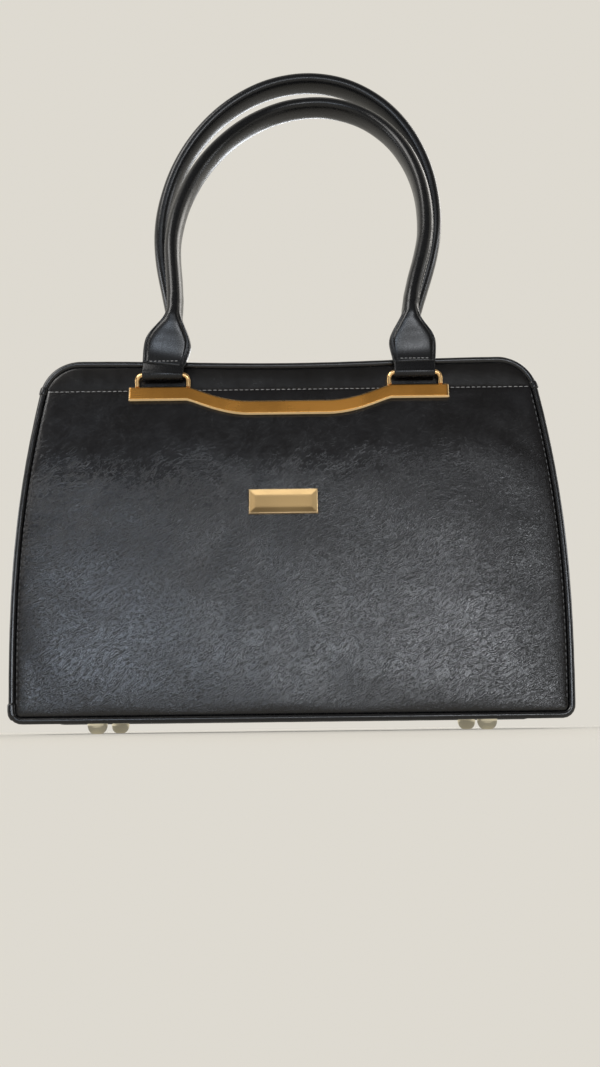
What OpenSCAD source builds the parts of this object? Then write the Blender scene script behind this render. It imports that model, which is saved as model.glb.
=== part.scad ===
// Structured top handle bag. A stiff body that narrows upwards, with a yoke, piped edges, a curved
// metal bar with two arch loops on each face, a pair of rolled handles, a zip top and dome feet.
// It stands on its feet with its front facing -Y. X runs along its width, and the origin is on the
// floor below its middle. Heights named "up the face" run along the leaning front or back.

/* [Body] */
// Width across the bottom edge
base_w = 330; // [290:1:370]
// Depth across the bottom edge
base_d = 120; // [106:1:140]
// Depth across the top rim
rim_d = 80; // [74:1:92]
// Height of the shell above its bottom edge
shell_h = 226.5; // [222:0.5:250]
// How much narrower each side is at the shoulder than at the bottom
side_taper = 8.5; // [2:0.5:14]
// Outward swell of each side at half its height
side_swell = 3.5; // [0:0.5:6]
// Radius of the two upper corners
shoulder_r = 25; // [20:1:32]
// Radius of the two lower corners
toe_r = 8; // [7:0.5:12]
// Dip of the rim at the middle of the bag
rim_dip = 2.5; // [0:0.5:3]
// Radius of the piping round the front and the back
piping_r = 2; // [1.8:0.1:2.8]

/* [Walls] */
// Thickness of the front and back panels
panel_t = 1.4; // [1:0.1:1.8]
// Thickness of the yokes and of the padding below them
yoke_t = 1.4; // [1:0.1:1.8]
// Thickness of the front and back boards
board_t = 1.2; // [1.2:0.1:1.5]
// Thickness of the side gussets and the base panel
gusset_t = 1.8; // [1.4:0.1:2]
// Thickness of the lining
lining_t = 0.6; // [0.4:0.1:0.8]
// How far the top edge of the front and back panels stays below the shell's height
yoke_show = 18; // [16.5:0.5:22]
// How far the yoke runs down behind the panel
yoke_lap = 22.5; // [20:0.5:30]
// Height of the seam between the base panel and the side gussets
base_seam_h = 14; // [13:0.5:20]

/* [Bar and loops] */
// Length of the bar
bar_len = 200.5; // [196:0.5:210]
// Height of the bar's band
bar_h = 9.4; // [8:0.1:10]
// Thickness of the bar
bar_t = 3.4; // [3:0.1:3.8]
// Bevel round the bar's front
bar_bevel = 1; // [0.5:0.1:1.4]
// How far the bar's middle lies below its ends
bar_drop = 10; // [6:0.5:11]
// Length of the bar's level middle
bar_mid_len = 48; // [40:1:60]
// Length of each of the bar's level ends
bar_end_len = 36.2; // [35.5:0.1:42]
// Distance from the panel's top edge down to the top edge of the bar's ends
bar_under = 0.2; // [0:0.1:3]
// Distance between the middles of the two loops
loop_span = 158; // [154:1:160]
// Outer width of a loop
loop_w = 35; // [34:0.5:37]
// Radius of the loops' wire
loop_wire_r = 1.5; // [1.3:0.1:1.7]
// Bend radius of a loop's corners
loop_corner_r = 3.5; // [3:0.1:3.6]
// Height of a loop's top wire above the bar
loop_up = 7.2; // [7:0.1:8]
// Distance from the face out to a loop's top wire
loop_out = 3.7; // [3.6:0.1:5]
// Radius of a rivet's shank
rivet_r = 1.2; // [1:0.1:1.5]
// Radius of a rivet's head
rivet_head_r = 3; // [2.4:0.1:3.4]

/* [Plaque] */
// Width of the plaque
plaque_w = 43; // [38:0.5:60]
// Height of the plaque
plaque_h = 16.4; // [14:0.2:24]
// Thickness of the plaque
plaque_t = 1.8; // [1.4:0.1:2.4]
// Bevel round the plaque's front
plaque_bevel = 1.2; // [0.6:0.1:1.3]
// Middle of the plaque, as a share of the panel's height
plaque_up_share = 0.638; // [0.5:0.002:0.7]
// Middle of the plaque, across the front
plaque_x = -4; // [-10:1:10]

/* [Handles] */
// Width of the strap that wraps a loop's wire
strap_w = 25.5; // [22:0.5:26]
// Thickness of that strap
strap_t = 1.3; // [1:0.1:1.5]
// Widest place of a tab
tab_w = 29.5; // [27:0.5:33]
// Height of a tab's neck above the loop's wire
neck_h = 42; // [38:1:48]
// Thickness of a handle, across the arch
grip_w = 10.4; // [9.5:0.1:12]
// Thickness of a handle, front to back
grip_d = 19.4; // [16:0.1:20.4]
// Thickness of a handle's leather
cover_t = 1.4; // [1:0.1:1.8]
// Half the width of the front handle, at its shoulders
front_half_w = 83; // [78:1:90]
// Height of the front handle's shoulders above the loops' wire
front_shoulder_h = 103; // [90:1:115]
// Height of the front handle's crown above the loops' wire
front_crown_h = 215; // [190:1:220]
// Half the distance between the front handle's necks
front_neck_x = 75.3; // [73:0.1:80]
// How far the front handle's crown leans back
front_lean = 56; // [50:1:57]
// How far the front handle's crown lies towards +X
front_sway = 20; // [0:1:22]
// Half the width of the back handle, at its shoulders
back_half_w = 98; // [92:1:106]
// Height of the back handle's shoulders above the loops' wire
back_shoulder_h = 133; // [120:1:145]
// Height of the back handle's crown above the loops' wire
back_crown_h = 245; // [235:1:265]
// Half the distance between the back handle's necks
back_neck_x = 82; // [78:0.1:84]
// How far the back handle's crown leans forward
back_lean = 16; // [4:1:18]
// How far the back handle's crown lies towards +X
back_sway = 15; // [0:1:20]

/* [Zip] */
// Length of the fixed leather past each end of the zip's moving strips
zip_end_len = 7.9; // [6:0.1:14]
// Distance from a strip's end in to the zip's first tooth
zip_start_in = 6; // [5:0.5:10]
// Gap between the two leather strips
strip_gap = 16; // [15:0.5:20]
// Thickness of the leather strips
strip_t = 1.8; // [1.4:0.1:2]
// Thickness of the zip tapes
tape_t = 0.8; // [0.6:0.1:0.9]
// Width of each zip tape
tape_w = 14; // [12:0.5:18]
// Distance from tooth to tooth in one row
tooth_pitch = 3.6; // [3.4:0.1:4.5]
// Width of a tooth along the zip
tooth_w = 1.3; // [1.1:0.05:1.4]
// Height of a tooth
tooth_h = 3.2; // [2.8:0.1:3.4]
// Reach of a tooth past the middle of the zip
tooth_reach = 1.3; // [1:0.1:1.5]
// Length of the slider
slider_len = 14; // [12:0.5:16]
// Width of the slider
slider_w = 11.2; // [10.8:0.1:12]
// Thickness of the slider's plates
slider_t = 1.3; // [1:0.1:1.5]
// Distance from the strips' end in to the middle of the closed slider
slider_in = 20; // [18:1:34]
// Length of the pull
pull_len = 24; // [18:0.5:26]
// Width of the pull
pull_w = 7.6; // [7:0.1:9]

/* [Feet] */
// Radius of a foot
foot_r = 6; // [5:0.5:7]
// Height from the floor to the shell's bottom edge
foot_h = 6; // [5:0.5:8]
// Radius of the flat under a foot
foot_flat_r = 2; // [1.5:0.1:3]
// Distance from the middle to the feet, along X
foot_x = 116; // [90:1:125]
// Distance from the middle to the feet, along Y
foot_y = 42; // [36:0.5:43]

/* [Hidden] */
$fn = 48;
// Gap between pieces that only lie against each other
fit = 0.3;
// Overrun of cuts
over = 1;
// Lean of the front and back
lean = atan((base_d - rim_d) / 2 / shell_h);
// Distance from the silhouette in to the gussets' outer face
gusset_in = 0.6;
// Distance from the silhouette in to the panels' edges, behind the piping
edge_in = 2 * piping_r + fit / 2;
// Depths of the layers behind the front or back face
yoke_depth = panel_t;
board_depth = panel_t + yoke_t;
lining_depth = board_depth + board_t;
panel_top = shell_h - yoke_show;
bar_top = panel_top - bar_under;
plaque_up = panel_top * plaque_up_share;
yoke_bottom = panel_top - yoke_lap;
// Places of the pieces along the outline
side_h = shell_h - shoulder_r
    * (1 - sin(atan((3 * side_taper + PI * side_swell) / (shell_h - shoulder_r))));
SIDE_STEPS = 8;
CORNER_STEPS = 6;
TOE_STEPS = 3;
RIM_STEPS = 8;
PIPING_SIDES = 8;
// The loops' wire is the axis that a handle swings about
hinge_s = bar_top + loop_up;
hinge_y = -base_d / 2 + hinge_s * sin(lean) - loop_out * cos(lean);
hinge_z = foot_h + hinge_s * cos(lean) + loop_out * sin(lean);
// The zip's strips fold about their outer upper edge
strip_top = foot_h + shell_h - gusset_in - gusset_t - fit / 3;
strip_edge_y = half_depth(strip_top - foot_h) - 2 * piping_r - 2 * fit;
strip_z = strip_top - strip_t;
tape_z = strip_z - tape_t;
tooth_mid_z = tape_z + tape_t / 2;
tape_edge_y = tooth_reach + fit;
// Side of the tooth's jaw that grips the tape
jaw_y = 3.6;
slider_gap = tooth_h / 2 + fit;
pull_pin_r = 0.8;
crown_w = 3;
crown_up = 3.2;
pull_t = 1.6;
pull_z = tooth_mid_z + slider_gap + slider_t + pull_pin_r + fit;
stop_len = 3;
// Handle sections
GRIP_SIDES = 14;
LEG_STEPS = 6;
ARCH_STEPS = 26;
TAB_STEPS = 11;
bore_r = loop_wire_r + fit;
wrap_r = bore_r + strap_t;
tab_start_h = wrap_r * 0.6;
grip_power_share = 2.4;
handle_lean_power_share = 1.3;
handle_sway_power_share = 1.25;

// Half the body's depth at height h above the shell's bottom edge
function half_depth(h) = base_d / 2 - h * tan(lean);

// Right-hand side of the silhouette at height h, and its inward slope
function side_x(h) = base_w / 2 + side_swell * sin(180 * h / side_h)
    - side_taper * pow(h / side_h, 3);
function side_slope(h) = atan(3 * side_taper * h * h / pow(side_h, 3)
    - side_swell * PI / side_h * cos(180 * h / side_h));

toe_slope = side_slope(toe_r);
toe_top_h = toe_r * (1 + sin(toe_slope));
toe_x = side_x(toe_top_h) - toe_r * cos(toe_slope);
shoulder_slope = side_slope(side_h);
shoulder_x = side_x(side_h) - shoulder_r * cos(shoulder_slope);
shoulder_mid_h = side_h - shoulder_r * sin(shoulder_slope);
rim_h = shoulder_mid_h + shoulder_r;
strip_len = 2 * (shoulder_x - zip_end_len);
zip_start_x = zip_start_in - strip_len / 2;
slider_x = strip_len / 2 - slider_in;

function arc(x, h, r, from, to, steps) =
    [for (i = [0:steps]) let (a = from + (to - from) * i / steps) [x + r * cos(a), h + r * sin(a)]];

// Right half of the silhouette, moved in by the given inset, from the bottom edge to the rim
function half_outline(inset) = concat(
    arc(toe_x, toe_r, toe_r - inset, -90, toe_slope, TOE_STEPS),
    [for (i = [1:SIDE_STEPS]) let (
        h = toe_top_h + (side_h - toe_top_h) * i / SIDE_STEPS,
        a = side_slope(h)
    ) [side_x(h) - inset * cos(a), h - inset * sin(a)]],
    [for (p = arc(shoulder_x, shoulder_mid_h, shoulder_r - inset, shoulder_slope, 90, CORNER_STEPS))
        if (p.y > side_h - inset * sin(shoulder_slope) + fit) p],
    [for (i = [1:RIM_STEPS]) let (x = shoulder_x * (1 - i / RIM_STEPS))
        [x, rim_h - inset - rim_dip * pow(cos(90 * x / shoulder_x), 2)]]
);
function reversed_left(pts) = [for (i = [len(pts) - 1:-1:0]) if (pts[i].x > 0) [-pts[i].x, pts[i].y]];
function outline(inset) = let (half = half_outline(inset)) concat(half, reversed_left(half));
function face_outline(inset) = [for (p = outline(inset)) [p.x, p.y / cos(lean)]];

// Frame of the front face: X across, Y into the bag, Z up the face from its bottom edge
module on_front() {
    translate([0, -base_d / 2, foot_h]) rotate([-lean, 0, 0]) children();
}

module on_back() {
    mirror([0, 1, 0]) on_front() children();
}

// A sheet that lies at the given depth behind the face
module sheet(depth, thickness) {
    translate([0, depth + thickness, 0]) rotate([90, 0, 0]) linear_extrude(thickness) children();
}

module band(low, high) {
    translate([-base_w, low]) square([2 * base_w, high - low]);
}

// Space between the two faces, from the given depth behind each
module between_faces(depth) {
    low = -over;
    high = shell_h + over;
    low_y = half_depth(low) - depth / cos(lean);
    high_y = half_depth(high) - depth / cos(lean);
    translate([-base_w, 0, foot_h]) rotate([90, 0, 90]) linear_extrude(2 * base_w)
        polygon([[-low_y, low], [low_y, low], [high_y, high], [-high_y, high]]);
}

module across(from_inset, to_inset) {
    translate([0, base_d, foot_h]) rotate([90, 0, 0]) linear_extrude(2 * base_d)
        intersection() {
            difference() {
                polygon(outline(from_inset));
                polygon(outline(to_inset));
            }
            children();
        }
}

// Faces of a skin over rings of points. A closed skin joins its last ring to its first.
function skin_faces(rings, sides, closed = false) = concat(
    [for (i = [0:rings - (closed ? 1 : 2)], j = [0:sides - 1]) let (
        a = i * sides + j,
        b = i * sides + (j + 1) % sides,
        c = ((i + 1) % rings) * sides + (j + 1) % sides,
        d = ((i + 1) % rings) * sides + j
    ) each [[a, b, c], [a, c, d]]],
    closed ? [] : [
        [for (j = [sides - 1:-1:0]) j],
        [for (j = [0:sides - 1]) (rings - 1) * sides + j]
    ]
);
function flat(lists) = [for (l = lists) each l];
function reversed(list) = [for (i = [len(list) - 1:-1:0]) list[i]];
function unit(v) = v / norm(v);
function signed_pow(v, p) = sign(v) * pow(abs(v), p);

// Rounded section with the given half axes: power 2 is an ellipse, more is squarer
function section(a, b, power, sides) = [for (i = [0:sides - 1]) let (t = 360 * (i + 0.5) / sides)
    [a * signed_pow(cos(t), 2 / power), b * signed_pow(sin(t), 2 / power)]];

// Section placed at a point of a path, square to its run. Its second axis stays near "depth_dir".
function placed(points, p, run, depth_dir) = let (
    t = unit(run),
    n = unit(cross(t, depth_dir)),
    b = cross(n, t)
) [for (q = points) p + q.x * n + q.y * b];

function run_at(path, i, closed = false) = let (n = len(path)) closed
    ? path[(i + 1) % n] - path[(i + n - 1) % n]
    : path[min(i + 1, n - 1)] - path[max(i - 1, 0)];

// Front and back walls
module wall_holes(up, xs, r) {
    for (x = xs) translate([x, up]) circle(r);
}

bar_rivet_xs = [-1, 1];
bar_end_rivet_x = bar_len / 2 - bar_end_len * 0.15;
bar_mid_rivet_x = bar_mid_len / 3;
bar_end_up = bar_top - bar_h / 2;
bar_mid_up = bar_end_up - bar_drop;
plaque_rivet_dx = plaque_w / 3;

module bar_holes(r) {
    for (s = bar_rivet_xs) {
        wall_holes(bar_end_up, [s * bar_end_rivet_x], r);
        wall_holes(bar_mid_up, [s * bar_mid_rivet_x], r);
    }
}

module plaque_holes(r) {
    wall_holes(plaque_up, [plaque_x - plaque_rivet_dx, plaque_x + plaque_rivet_dx], r);
}

module panel_sheet(with_plaque) {
    sheet(0, panel_t) difference() {
        intersection() {
            polygon(face_outline(edge_in));
            band(0, panel_top);
        }
        bar_holes(rivet_r + fit / 2);
        if (with_plaque) plaque_holes(rivet_r + fit / 2);
    }
}

module yoke_sheet() {
    sheet(yoke_depth, yoke_t) difference() {
        intersection() {
            polygon(face_outline(edge_in));
            band(yoke_bottom, 2 * shell_h);
        }
        bar_holes(rivet_r + fit / 2);
    }
}

module padding_sheet(with_plaque) {
    sheet(yoke_depth, yoke_t) difference() {
        intersection() {
            polygon(face_outline(edge_in));
            band(0, yoke_bottom);
        }
        if (with_plaque) plaque_holes(rivet_r + fit / 2);
    }
}

module board_sheet(with_plaque) {
    sheet(board_depth, board_t) difference() {
        polygon(face_outline(edge_in));
        bar_holes(rivet_head_r + fit);
        if (with_plaque) plaque_holes(rivet_head_r + fit);
    }
}

module piping() {
    path = [for (p = outline(piping_r))
        [p.x, piping_r / cos(lean) - half_depth(p.y), foot_h + p.y]];
    ring = section(piping_r, piping_r, 2, PIPING_SIDES);
    polyhedron(
        flat([for (i = [0:len(path) - 1])
            placed(ring, path[i], run_at(path, i, true), [0, cos(lean), -sin(lean)])]),
        skin_faces(len(path), PIPING_SIDES, true)
    );
}

module front_panel() { color("#26272c") on_front() panel_sheet(true); }
module front_yoke() { color("#2b2828") on_front() yoke_sheet(); }
module front_padding() { color("#77736c") on_front() padding_sheet(true); }
module front_board() { color("#8a7a62") on_front() board_sheet(true); }
module front_piping() { color("#222124") piping(); }
module back_panel() { color("#26272c") on_back() panel_sheet(false); }
module back_yoke() { color("#2b2828") on_back() yoke_sheet(); }
module back_padding() { color("#77736c") on_back() padding_sheet(false); }
module back_board() { color("#8a7a62") on_back() board_sheet(false); }
module back_piping() { color("#222124") mirror([0, 1, 0]) piping(); }

// Sides and base
gusset_end_x = strip_len / 2 + 2;
module side_region(side) {
    translate([side > 0 ? gusset_end_x : -base_w, base_seam_h])
        square([base_w - gusset_end_x, shell_h]);
}

module side_gusset(side) {
    intersection() {
        across(gusset_in, gusset_in + gusset_t) side_region(side);
        between_faces(edge_in);
    }
}

// The padding stops below the zip's level
padding_top_h = shell_h - shoulder_r / 2;
module side_padding(side) {
    intersection() {
        across(gusset_in + gusset_t, edge_in) intersection() {
            side_region(side);
            band(base_seam_h, padding_top_h);
        }
        between_faces(edge_in);
    }
}

module side_gusset_left() { color("#242428") side_gusset(-1); }
module side_gusset_right() { color("#242428") side_gusset(1); }
module side_padding_left() { color("#77736c") side_padding(-1); }
module side_padding_right() { color("#77736c") side_padding(1); }

module at_feet() {
    for (sx = [-1, 1], sy = [-1, 1]) translate([sx * foot_x, sy * foot_y, 0]) children();
}

foot_top_z = foot_h + gusset_in;
base_board_z = foot_top_z + gusset_t;
base_board_t = edge_in - gusset_in - gusset_t;
washer_t = base_board_t / 3;
washer_r = foot_r * 0.9;
stem_r = foot_r / 4;

module base_panel() {
    color("#242428") difference() {
        intersection() {
            across(gusset_in, gusset_in + gusset_t) band(-over, base_seam_h);
            between_faces(edge_in);
        }
        at_feet() cylinder(h = base_board_z + over, r = stem_r + fit / 2);
    }
}

module base_board() {
    color("#8a7a62") difference() {
        intersection() {
            translate([-toe_x, -base_d / 2, base_board_z]) cube([2 * toe_x, base_d, base_board_t]);
            between_faces(edge_in);
        }
        at_feet() {
            cylinder(h = base_board_z + 2 * base_board_t, r = stem_r + fit / 2);
            translate([0, 0, base_board_z + base_board_t - washer_t])
                cylinder(h = washer_t + over, r = washer_r + fit / 2);
        }
    }
}

module feet() {
    dome_h = foot_top_z * 0.92;
    dome = [for (i = [0:8]) let (a = 90 * i / 8)
        [foot_flat_r + (foot_r - foot_flat_r) * sin(a), dome_h * (1 - cos(a))]];
    color("#b98a3c") at_feet() {
        rotate_extrude() polygon(concat([[0, 0]], dome, [[foot_r, foot_top_z], [0, foot_top_z]]));
        translate([0, 0, foot_top_z])
            cylinder(h = gusset_t + base_board_t - washer_t / 2, r = stem_r);
    }
}

module foot_washers() {
    color("#b9b4a8") at_feet() translate([0, 0, base_board_z + base_board_t - washer_t])
        difference() {
            cylinder(h = washer_t, r = washer_r);
            translate([0, 0, -over]) cylinder(h = washer_t + 2 * over, r = stem_r + fit / 10);
        }
}

// The lining is a pocket with an open top, which ends below the zip's tapes
lining_top_h = strip_z - foot_h - 2 * tape_t - fit;
module lining_space(depth) {
    intersection() {
        translate([0, base_d, foot_h]) rotate([90, 0, 0]) linear_extrude(2 * base_d) children();
        between_faces(depth);
    }
}

module lining() {
    inner = edge_in + lining_t;
    color("#8c8378") difference() {
        lining_space(lining_depth) intersection() {
            polygon(outline(edge_in));
            band(0, lining_top_h);
        }
        lining_space(lining_depth + lining_t) {
            polygon(outline(inner));
            translate([-shoulder_x, shoulder_mid_h]) square([2 * shoulder_x, shell_h]);
        }
    }
}

// Bar with its dip: it bends down sharply beside each loop and levels out slowly further in
function smooth(t) = t <= 0 ? 0 : t >= 1 ? 1 : t * t * (3 - 2 * t);
bar_ramp_in = bar_mid_len / 2;
bar_ramp_out = bar_len / 2 - bar_end_len;
bar_bend_power_share = 0.66;
BAR_STEPS = 12;

// Height of the bar's middle line up the face at a place across
function bar_up(x) = bar_end_up - bar_drop * smooth(pow(
    max(0, min(1, (bar_ramp_out - abs(x)) / (bar_ramp_out - bar_ramp_in))), bar_bend_power_share));

bar_half_xs = concat(
    [for (i = [BAR_STEPS:-1:0]) bar_ramp_out - (bar_ramp_out - bar_ramp_in) * pow(i / BAR_STEPS, 1.4)],
    [bar_len / 2 - bar_bevel, bar_len / 2]
);
bar_xs = concat(-reversed(bar_half_xs), bar_half_xs);

function bar_section(bevel) = [
    [0, -bar_h / 2], [0, bar_h / 2], [bevel - bar_t, bar_h / 2],
    [-bar_t, bar_h / 2 - bevel], [-bar_t, bevel - bar_h / 2], [bevel - bar_t, -bar_h / 2]
];

module bar_band() {
    last = len(bar_xs) - 1;
    polyhedron(
        flat([for (i = [0:last]) let (
            end = i == 0 || i == last,
            // the end ring is drawn in, so the bevel runs round the bar's ends too
            share = end ? (bar_t - bar_bevel) / bar_t : 1
        ) [for (q = bar_section(end ? bar_bevel * 0.3 : bar_bevel))
            [bar_xs[i], q.x * share, bar_up(bar_xs[i]) + q.y * (end ? (bar_h - bar_bevel) / bar_h : 1)]]]),
        skin_faces(len(bar_xs), 6)
    );
}

// All that lies below the bar's top edge, from the face outwards
module below_bar() {
    translate([0, bar_h, 0]) rotate([90, 0, 0]) linear_extrude(2 * bar_h) polygon(concat(
        [for (x = bar_xs) [x, bar_up(x) + bar_h / 2]],
        [[bar_len / 2, -bar_h], [-bar_len / 2, -bar_h]]
    ));
}

module loop_wire(x) {
    tilt = atan((loop_out - bar_t / 2) / loop_up);
    rise = loop_up / cos(tilt);
    leg_x = loop_w / 2 - loop_wire_r;
    turn_x = leg_x - loop_corner_r;
    // the inner leg stands where the bar starts to bend, so both legs are cut to the bar's edge
    reach = bar_drop / 4;
    difference() {
        translate([x, -bar_t / 2, bar_top]) rotate([tilt, 0, 0]) {
            for (side = [-1, 1]) {
                translate([side * leg_x, 0, -reach])
                    cylinder(h = rise - loop_corner_r + reach, r = loop_wire_r);
                translate([side * turn_x, 0, rise - loop_corner_r]) rotate([90, 0, 0])
                    rotate([0, 0, side > 0 ? 0 : 90]) rotate_extrude(angle = 90)
                        translate([loop_corner_r, 0]) circle(loop_wire_r);
            }
            translate([-turn_x, 0, rise]) rotate([0, 90, 0]) cylinder(h = 2 * turn_x, r = loop_wire_r);
        }
        below_bar();
        translate([x - loop_w, 0, bar_top - 2 * loop_up]) cube([2 * loop_w, loop_w, 2 * loop_up]);
    }
}

// Rivets that clamp metal to the wall: the shank starts at the metal's back
module rivet(x, up) {
    translate([x, 0, up]) rotate([-90, 0, 0]) {
        cylinder(h = board_depth, r = rivet_r);
        translate([0, 0, board_depth]) cylinder(h = board_t - fit / 3, r = rivet_head_r);
    }
}

module bar_rivets() {
    for (s = bar_rivet_xs) {
        rivet(s * bar_end_rivet_x, bar_end_up);
        rivet(s * bar_mid_rivet_x, bar_mid_up);
    }
}

module front_bar() { color("#b98a3c") on_front() bar_band(); }
module front_loop_left() { color("#c79a4b") on_front() loop_wire(-loop_span / 2); }
module front_loop_right() { color("#c79a4b") on_front() loop_wire(loop_span / 2); }
module front_bar_rivets() { color("#c79a4b") on_front() bar_rivets(); }
module back_bar() { color("#b98a3c") on_back() bar_band(); }
module back_loop_left() { color("#c79a4b") on_back() loop_wire(-loop_span / 2); }
module back_loop_right() { color("#c79a4b") on_back() loop_wire(loop_span / 2); }
module back_bar_rivets() { color("#c79a4b") on_back() bar_rivets(); }

module plaque() {
    color("#c79a4b") on_front() translate([plaque_x, 0, plaque_up]) hull() {
        translate([-plaque_w / 2, plaque_bevel - plaque_t, -plaque_h / 2])
            cube([plaque_w, plaque_t - plaque_bevel, plaque_h]);
        translate([plaque_bevel - plaque_w / 2, -plaque_t, plaque_bevel - plaque_h / 2])
            cube([plaque_w - 2 * plaque_bevel, plaque_t, plaque_h - 2 * plaque_bevel]);
    }
}

module plaque_rivets() {
    color("#c79a4b") on_front() for (s = [-1, 1]) rivet(plaque_x + s * plaque_rivet_dx, plaque_up);
}

// Zip: strips and tapes are drawn for the front, and mirrored for the back
module flap_box(x0, x1, y0, y1, z0, z1) {
    translate([x0, y0, z0]) cube([x1 - x0, y1 - y0, z1 - z0]);
}

module zip_strip() {
    flap_box(-strip_len / 2, strip_len / 2, -strip_edge_y, -strip_gap / 2, strip_z, strip_top);
}

module zip_tape() {
    flap_box(-strip_len / 2, strip_len / 2, -tape_w, -tape_edge_y, tape_z, strip_z);
}

// A tooth grips the tape with a jaw above and below, and its nose reaches past the middle
module tooth() {
    slot = tape_t / 2;
    top = tooth_h / 2;
    polygon([
        [-jaw_y, slot], [-tape_edge_y, slot], [-tape_edge_y, -slot], [-jaw_y, -slot],
        [-jaw_y, -top], [0, -top], [tooth_reach, -top / 2], [tooth_reach, top / 2],
        [0, top], [-jaw_y, top]
    ]);
}

module zip_teeth(shift) {
    last_x = slider_x + slider_len * 0.2;
    for (x = [zip_start_x + shift:tooth_pitch:last_x])
        translate([x, 0, tooth_mid_z]) rotate([90, 0, 90]) linear_extrude(tooth_w) tooth();
}

module zip_strip_front() { color("#2b2828") zip_strip(); }
module zip_strip_back() { color("#2b2828") mirror([0, 1, 0]) zip_strip(); }
module zip_tape_front() { color("#1c1c1f") zip_tape(); }
module zip_tape_back() { color("#1c1c1f") mirror([0, 1, 0]) zip_tape(); }
module zip_teeth_front() { color("#b98a3c") zip_teeth(0); }
module zip_teeth_back() { color("#b98a3c") mirror([0, 1, 0]) zip_teeth(tooth_pitch / 2); }

module zip_end(side) {
    near = strip_len / 2 + fit;
    far = shoulder_x;
    translate([side > 0 ? near : -far, -strip_edge_y, strip_z])
        cube([far - near, 2 * strip_edge_y, strip_top + fit / 3 - strip_z]);
}

module zip_end_left() { color("#242428") zip_end(-1); }
module zip_end_right() { color("#242428") zip_end(1); }

module zip_bottom_stop() {
    color("#b98a3c") translate([-strip_len / 2 - fit, 0, 0]) difference() {
        flap_box(0, stop_len, -jaw_y, jaw_y, tooth_mid_z - tooth_h / 2, tooth_mid_z + tooth_h / 2);
        for (s = [-1, 1]) flap_box(-over, stop_len + over, s > 0 ? tape_edge_y - fit : -jaw_y - over,
            s > 0 ? jaw_y + over : fit - tape_edge_y, tape_z - fit, strip_z + fit);
    }
}

module slider_plan(w) {
    nose = slider_len / 5;
    polygon([
        [-slider_len / 2, -w / 3], [nose - slider_len / 2, -w / 2], [slider_len / 2, -w / 2],
        [slider_len / 2, w / 2], [nose - slider_len / 2, w / 2], [-slider_len / 2, w / 3]
    ]);
}

module zip_slider() {
    low = tooth_mid_z - slider_gap - slider_t;
    high = tooth_mid_z + slider_gap + slider_t;
    flange_y = jaw_y + 2 * fit;
    slot = tape_t / 2 + fit;
    post_x = slider_len * 0.28;
    post_y = tooth_reach * 0.8;
    crown_len = slider_len * 0.6;
    crown_t = 0.9;
    color("#c79a4b") translate([slider_x, 0, 0]) {
        difference() {
            translate([0, 0, low]) linear_extrude(high - low) slider_plan(slider_w);
            flap_box(-slider_len, slider_len, -flange_y, flange_y,
                tooth_mid_z - slider_gap, tooth_mid_z + slider_gap);
            flap_box(-slider_len, slider_len, -slider_w, slider_w,
                tooth_mid_z - slot, tooth_mid_z + slot);
        }
        flap_box(post_x, slider_len / 2, -post_y, post_y, low + slider_t / 2, high - slider_t / 2);
        difference() {
            flap_box(-crown_len / 2, crown_len / 2, -crown_w / 2, crown_w / 2, high, high + crown_up);
            flap_box(crown_t - crown_len / 2, crown_len / 2 - crown_t, -crown_w, crown_w,
                high, high + crown_up - crown_t);
        }
    }
}

// The pull's cross pin lies under the slider's crown and is the axis that it swings about
module zip_pull() {
    eye_y = crown_w / 2 + fit;
    eye_len = slider_len * 0.42;
    end_x = -pull_len;
    color("#c79a4b") translate([slider_x, 0, pull_z]) {
        rotate([90, 0, 0]) translate([0, 0, -pull_w / 2]) cylinder(h = pull_w, r = pull_pin_r);
        difference() {
            translate([0, 0, -pull_t / 2]) linear_extrude(pull_t) hull() {
                translate([0, -pull_w / 2]) square([pull_pin_r, pull_w]);
                translate([end_x + pull_w / 3, pull_w / 6]) circle(pull_w / 3);
                translate([end_x + pull_w / 3, -pull_w / 6]) circle(pull_w / 3);
            }
            flap_box(-eye_len, slider_len, -eye_y, eye_y, -pull_t, pull_t);
        }
    }
}

// Handles. A handle's spec names its size, and its path starts at the loops' wire.
front_spec = [front_half_w, front_shoulder_h, front_crown_h, front_neck_x, front_lean, front_sway];
back_spec = [back_half_w, back_shoulder_h, back_crown_h, back_neck_x, back_lean, back_sway];
lean_start_h = 2 * wrap_r;

function sway_at(spec, h) = spec[5] * pow(max(h, 0) / spec[2], handle_sway_power_share);
function lean_at(spec, h) = spec[4]
    * pow(max(h - lean_start_h, 0) / (spec[2] - lean_start_h), handle_lean_power_share);
function leg_x(spec, h) = h < neck_h
    ? loop_span / 2 + (spec[3] - loop_span / 2) * smooth(h / neck_h)
    : spec[3] + (spec[0] - spec[3]) * smooth((h - neck_h) / (spec[1] - neck_h));
function leg_point(spec, side, h) =
    [side * leg_x(spec, h) + sway_at(spec, h), lean_at(spec, h), h];
function arch_point(spec, t) = let (h = spec[1] + (spec[2] - spec[1]) * sin(t))
    [spec[0] * cos(t) + sway_at(spec, h), lean_at(spec, h), h];
function grip_path(spec) = concat(
    [for (i = [0:LEG_STEPS - 1])
        leg_point(spec, 1, neck_h + fit + (spec[1] - neck_h - fit) * i / LEG_STEPS)],
    [for (i = [0:ARCH_STEPS]) arch_point(spec, 180 * i / ARCH_STEPS)],
    [for (i = [LEG_STEPS - 1:-1:0])
        leg_point(spec, -1, neck_h + fit + (spec[1] - neck_h - fit) * i / LEG_STEPS)]
);

// Run of the path at its ends, taken from the leg's own curve, so tab and grip meet square
function leg_run(spec, side, h) = leg_point(spec, side, h + fit) - leg_point(spec, side, h - fit);
function grip_run(spec, path, i) = i == 0 ? leg_run(spec, 1, neck_h + fit)
    : i == len(path) - 1 ? -leg_run(spec, -1, neck_h + fit) : run_at(path, i);

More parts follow.
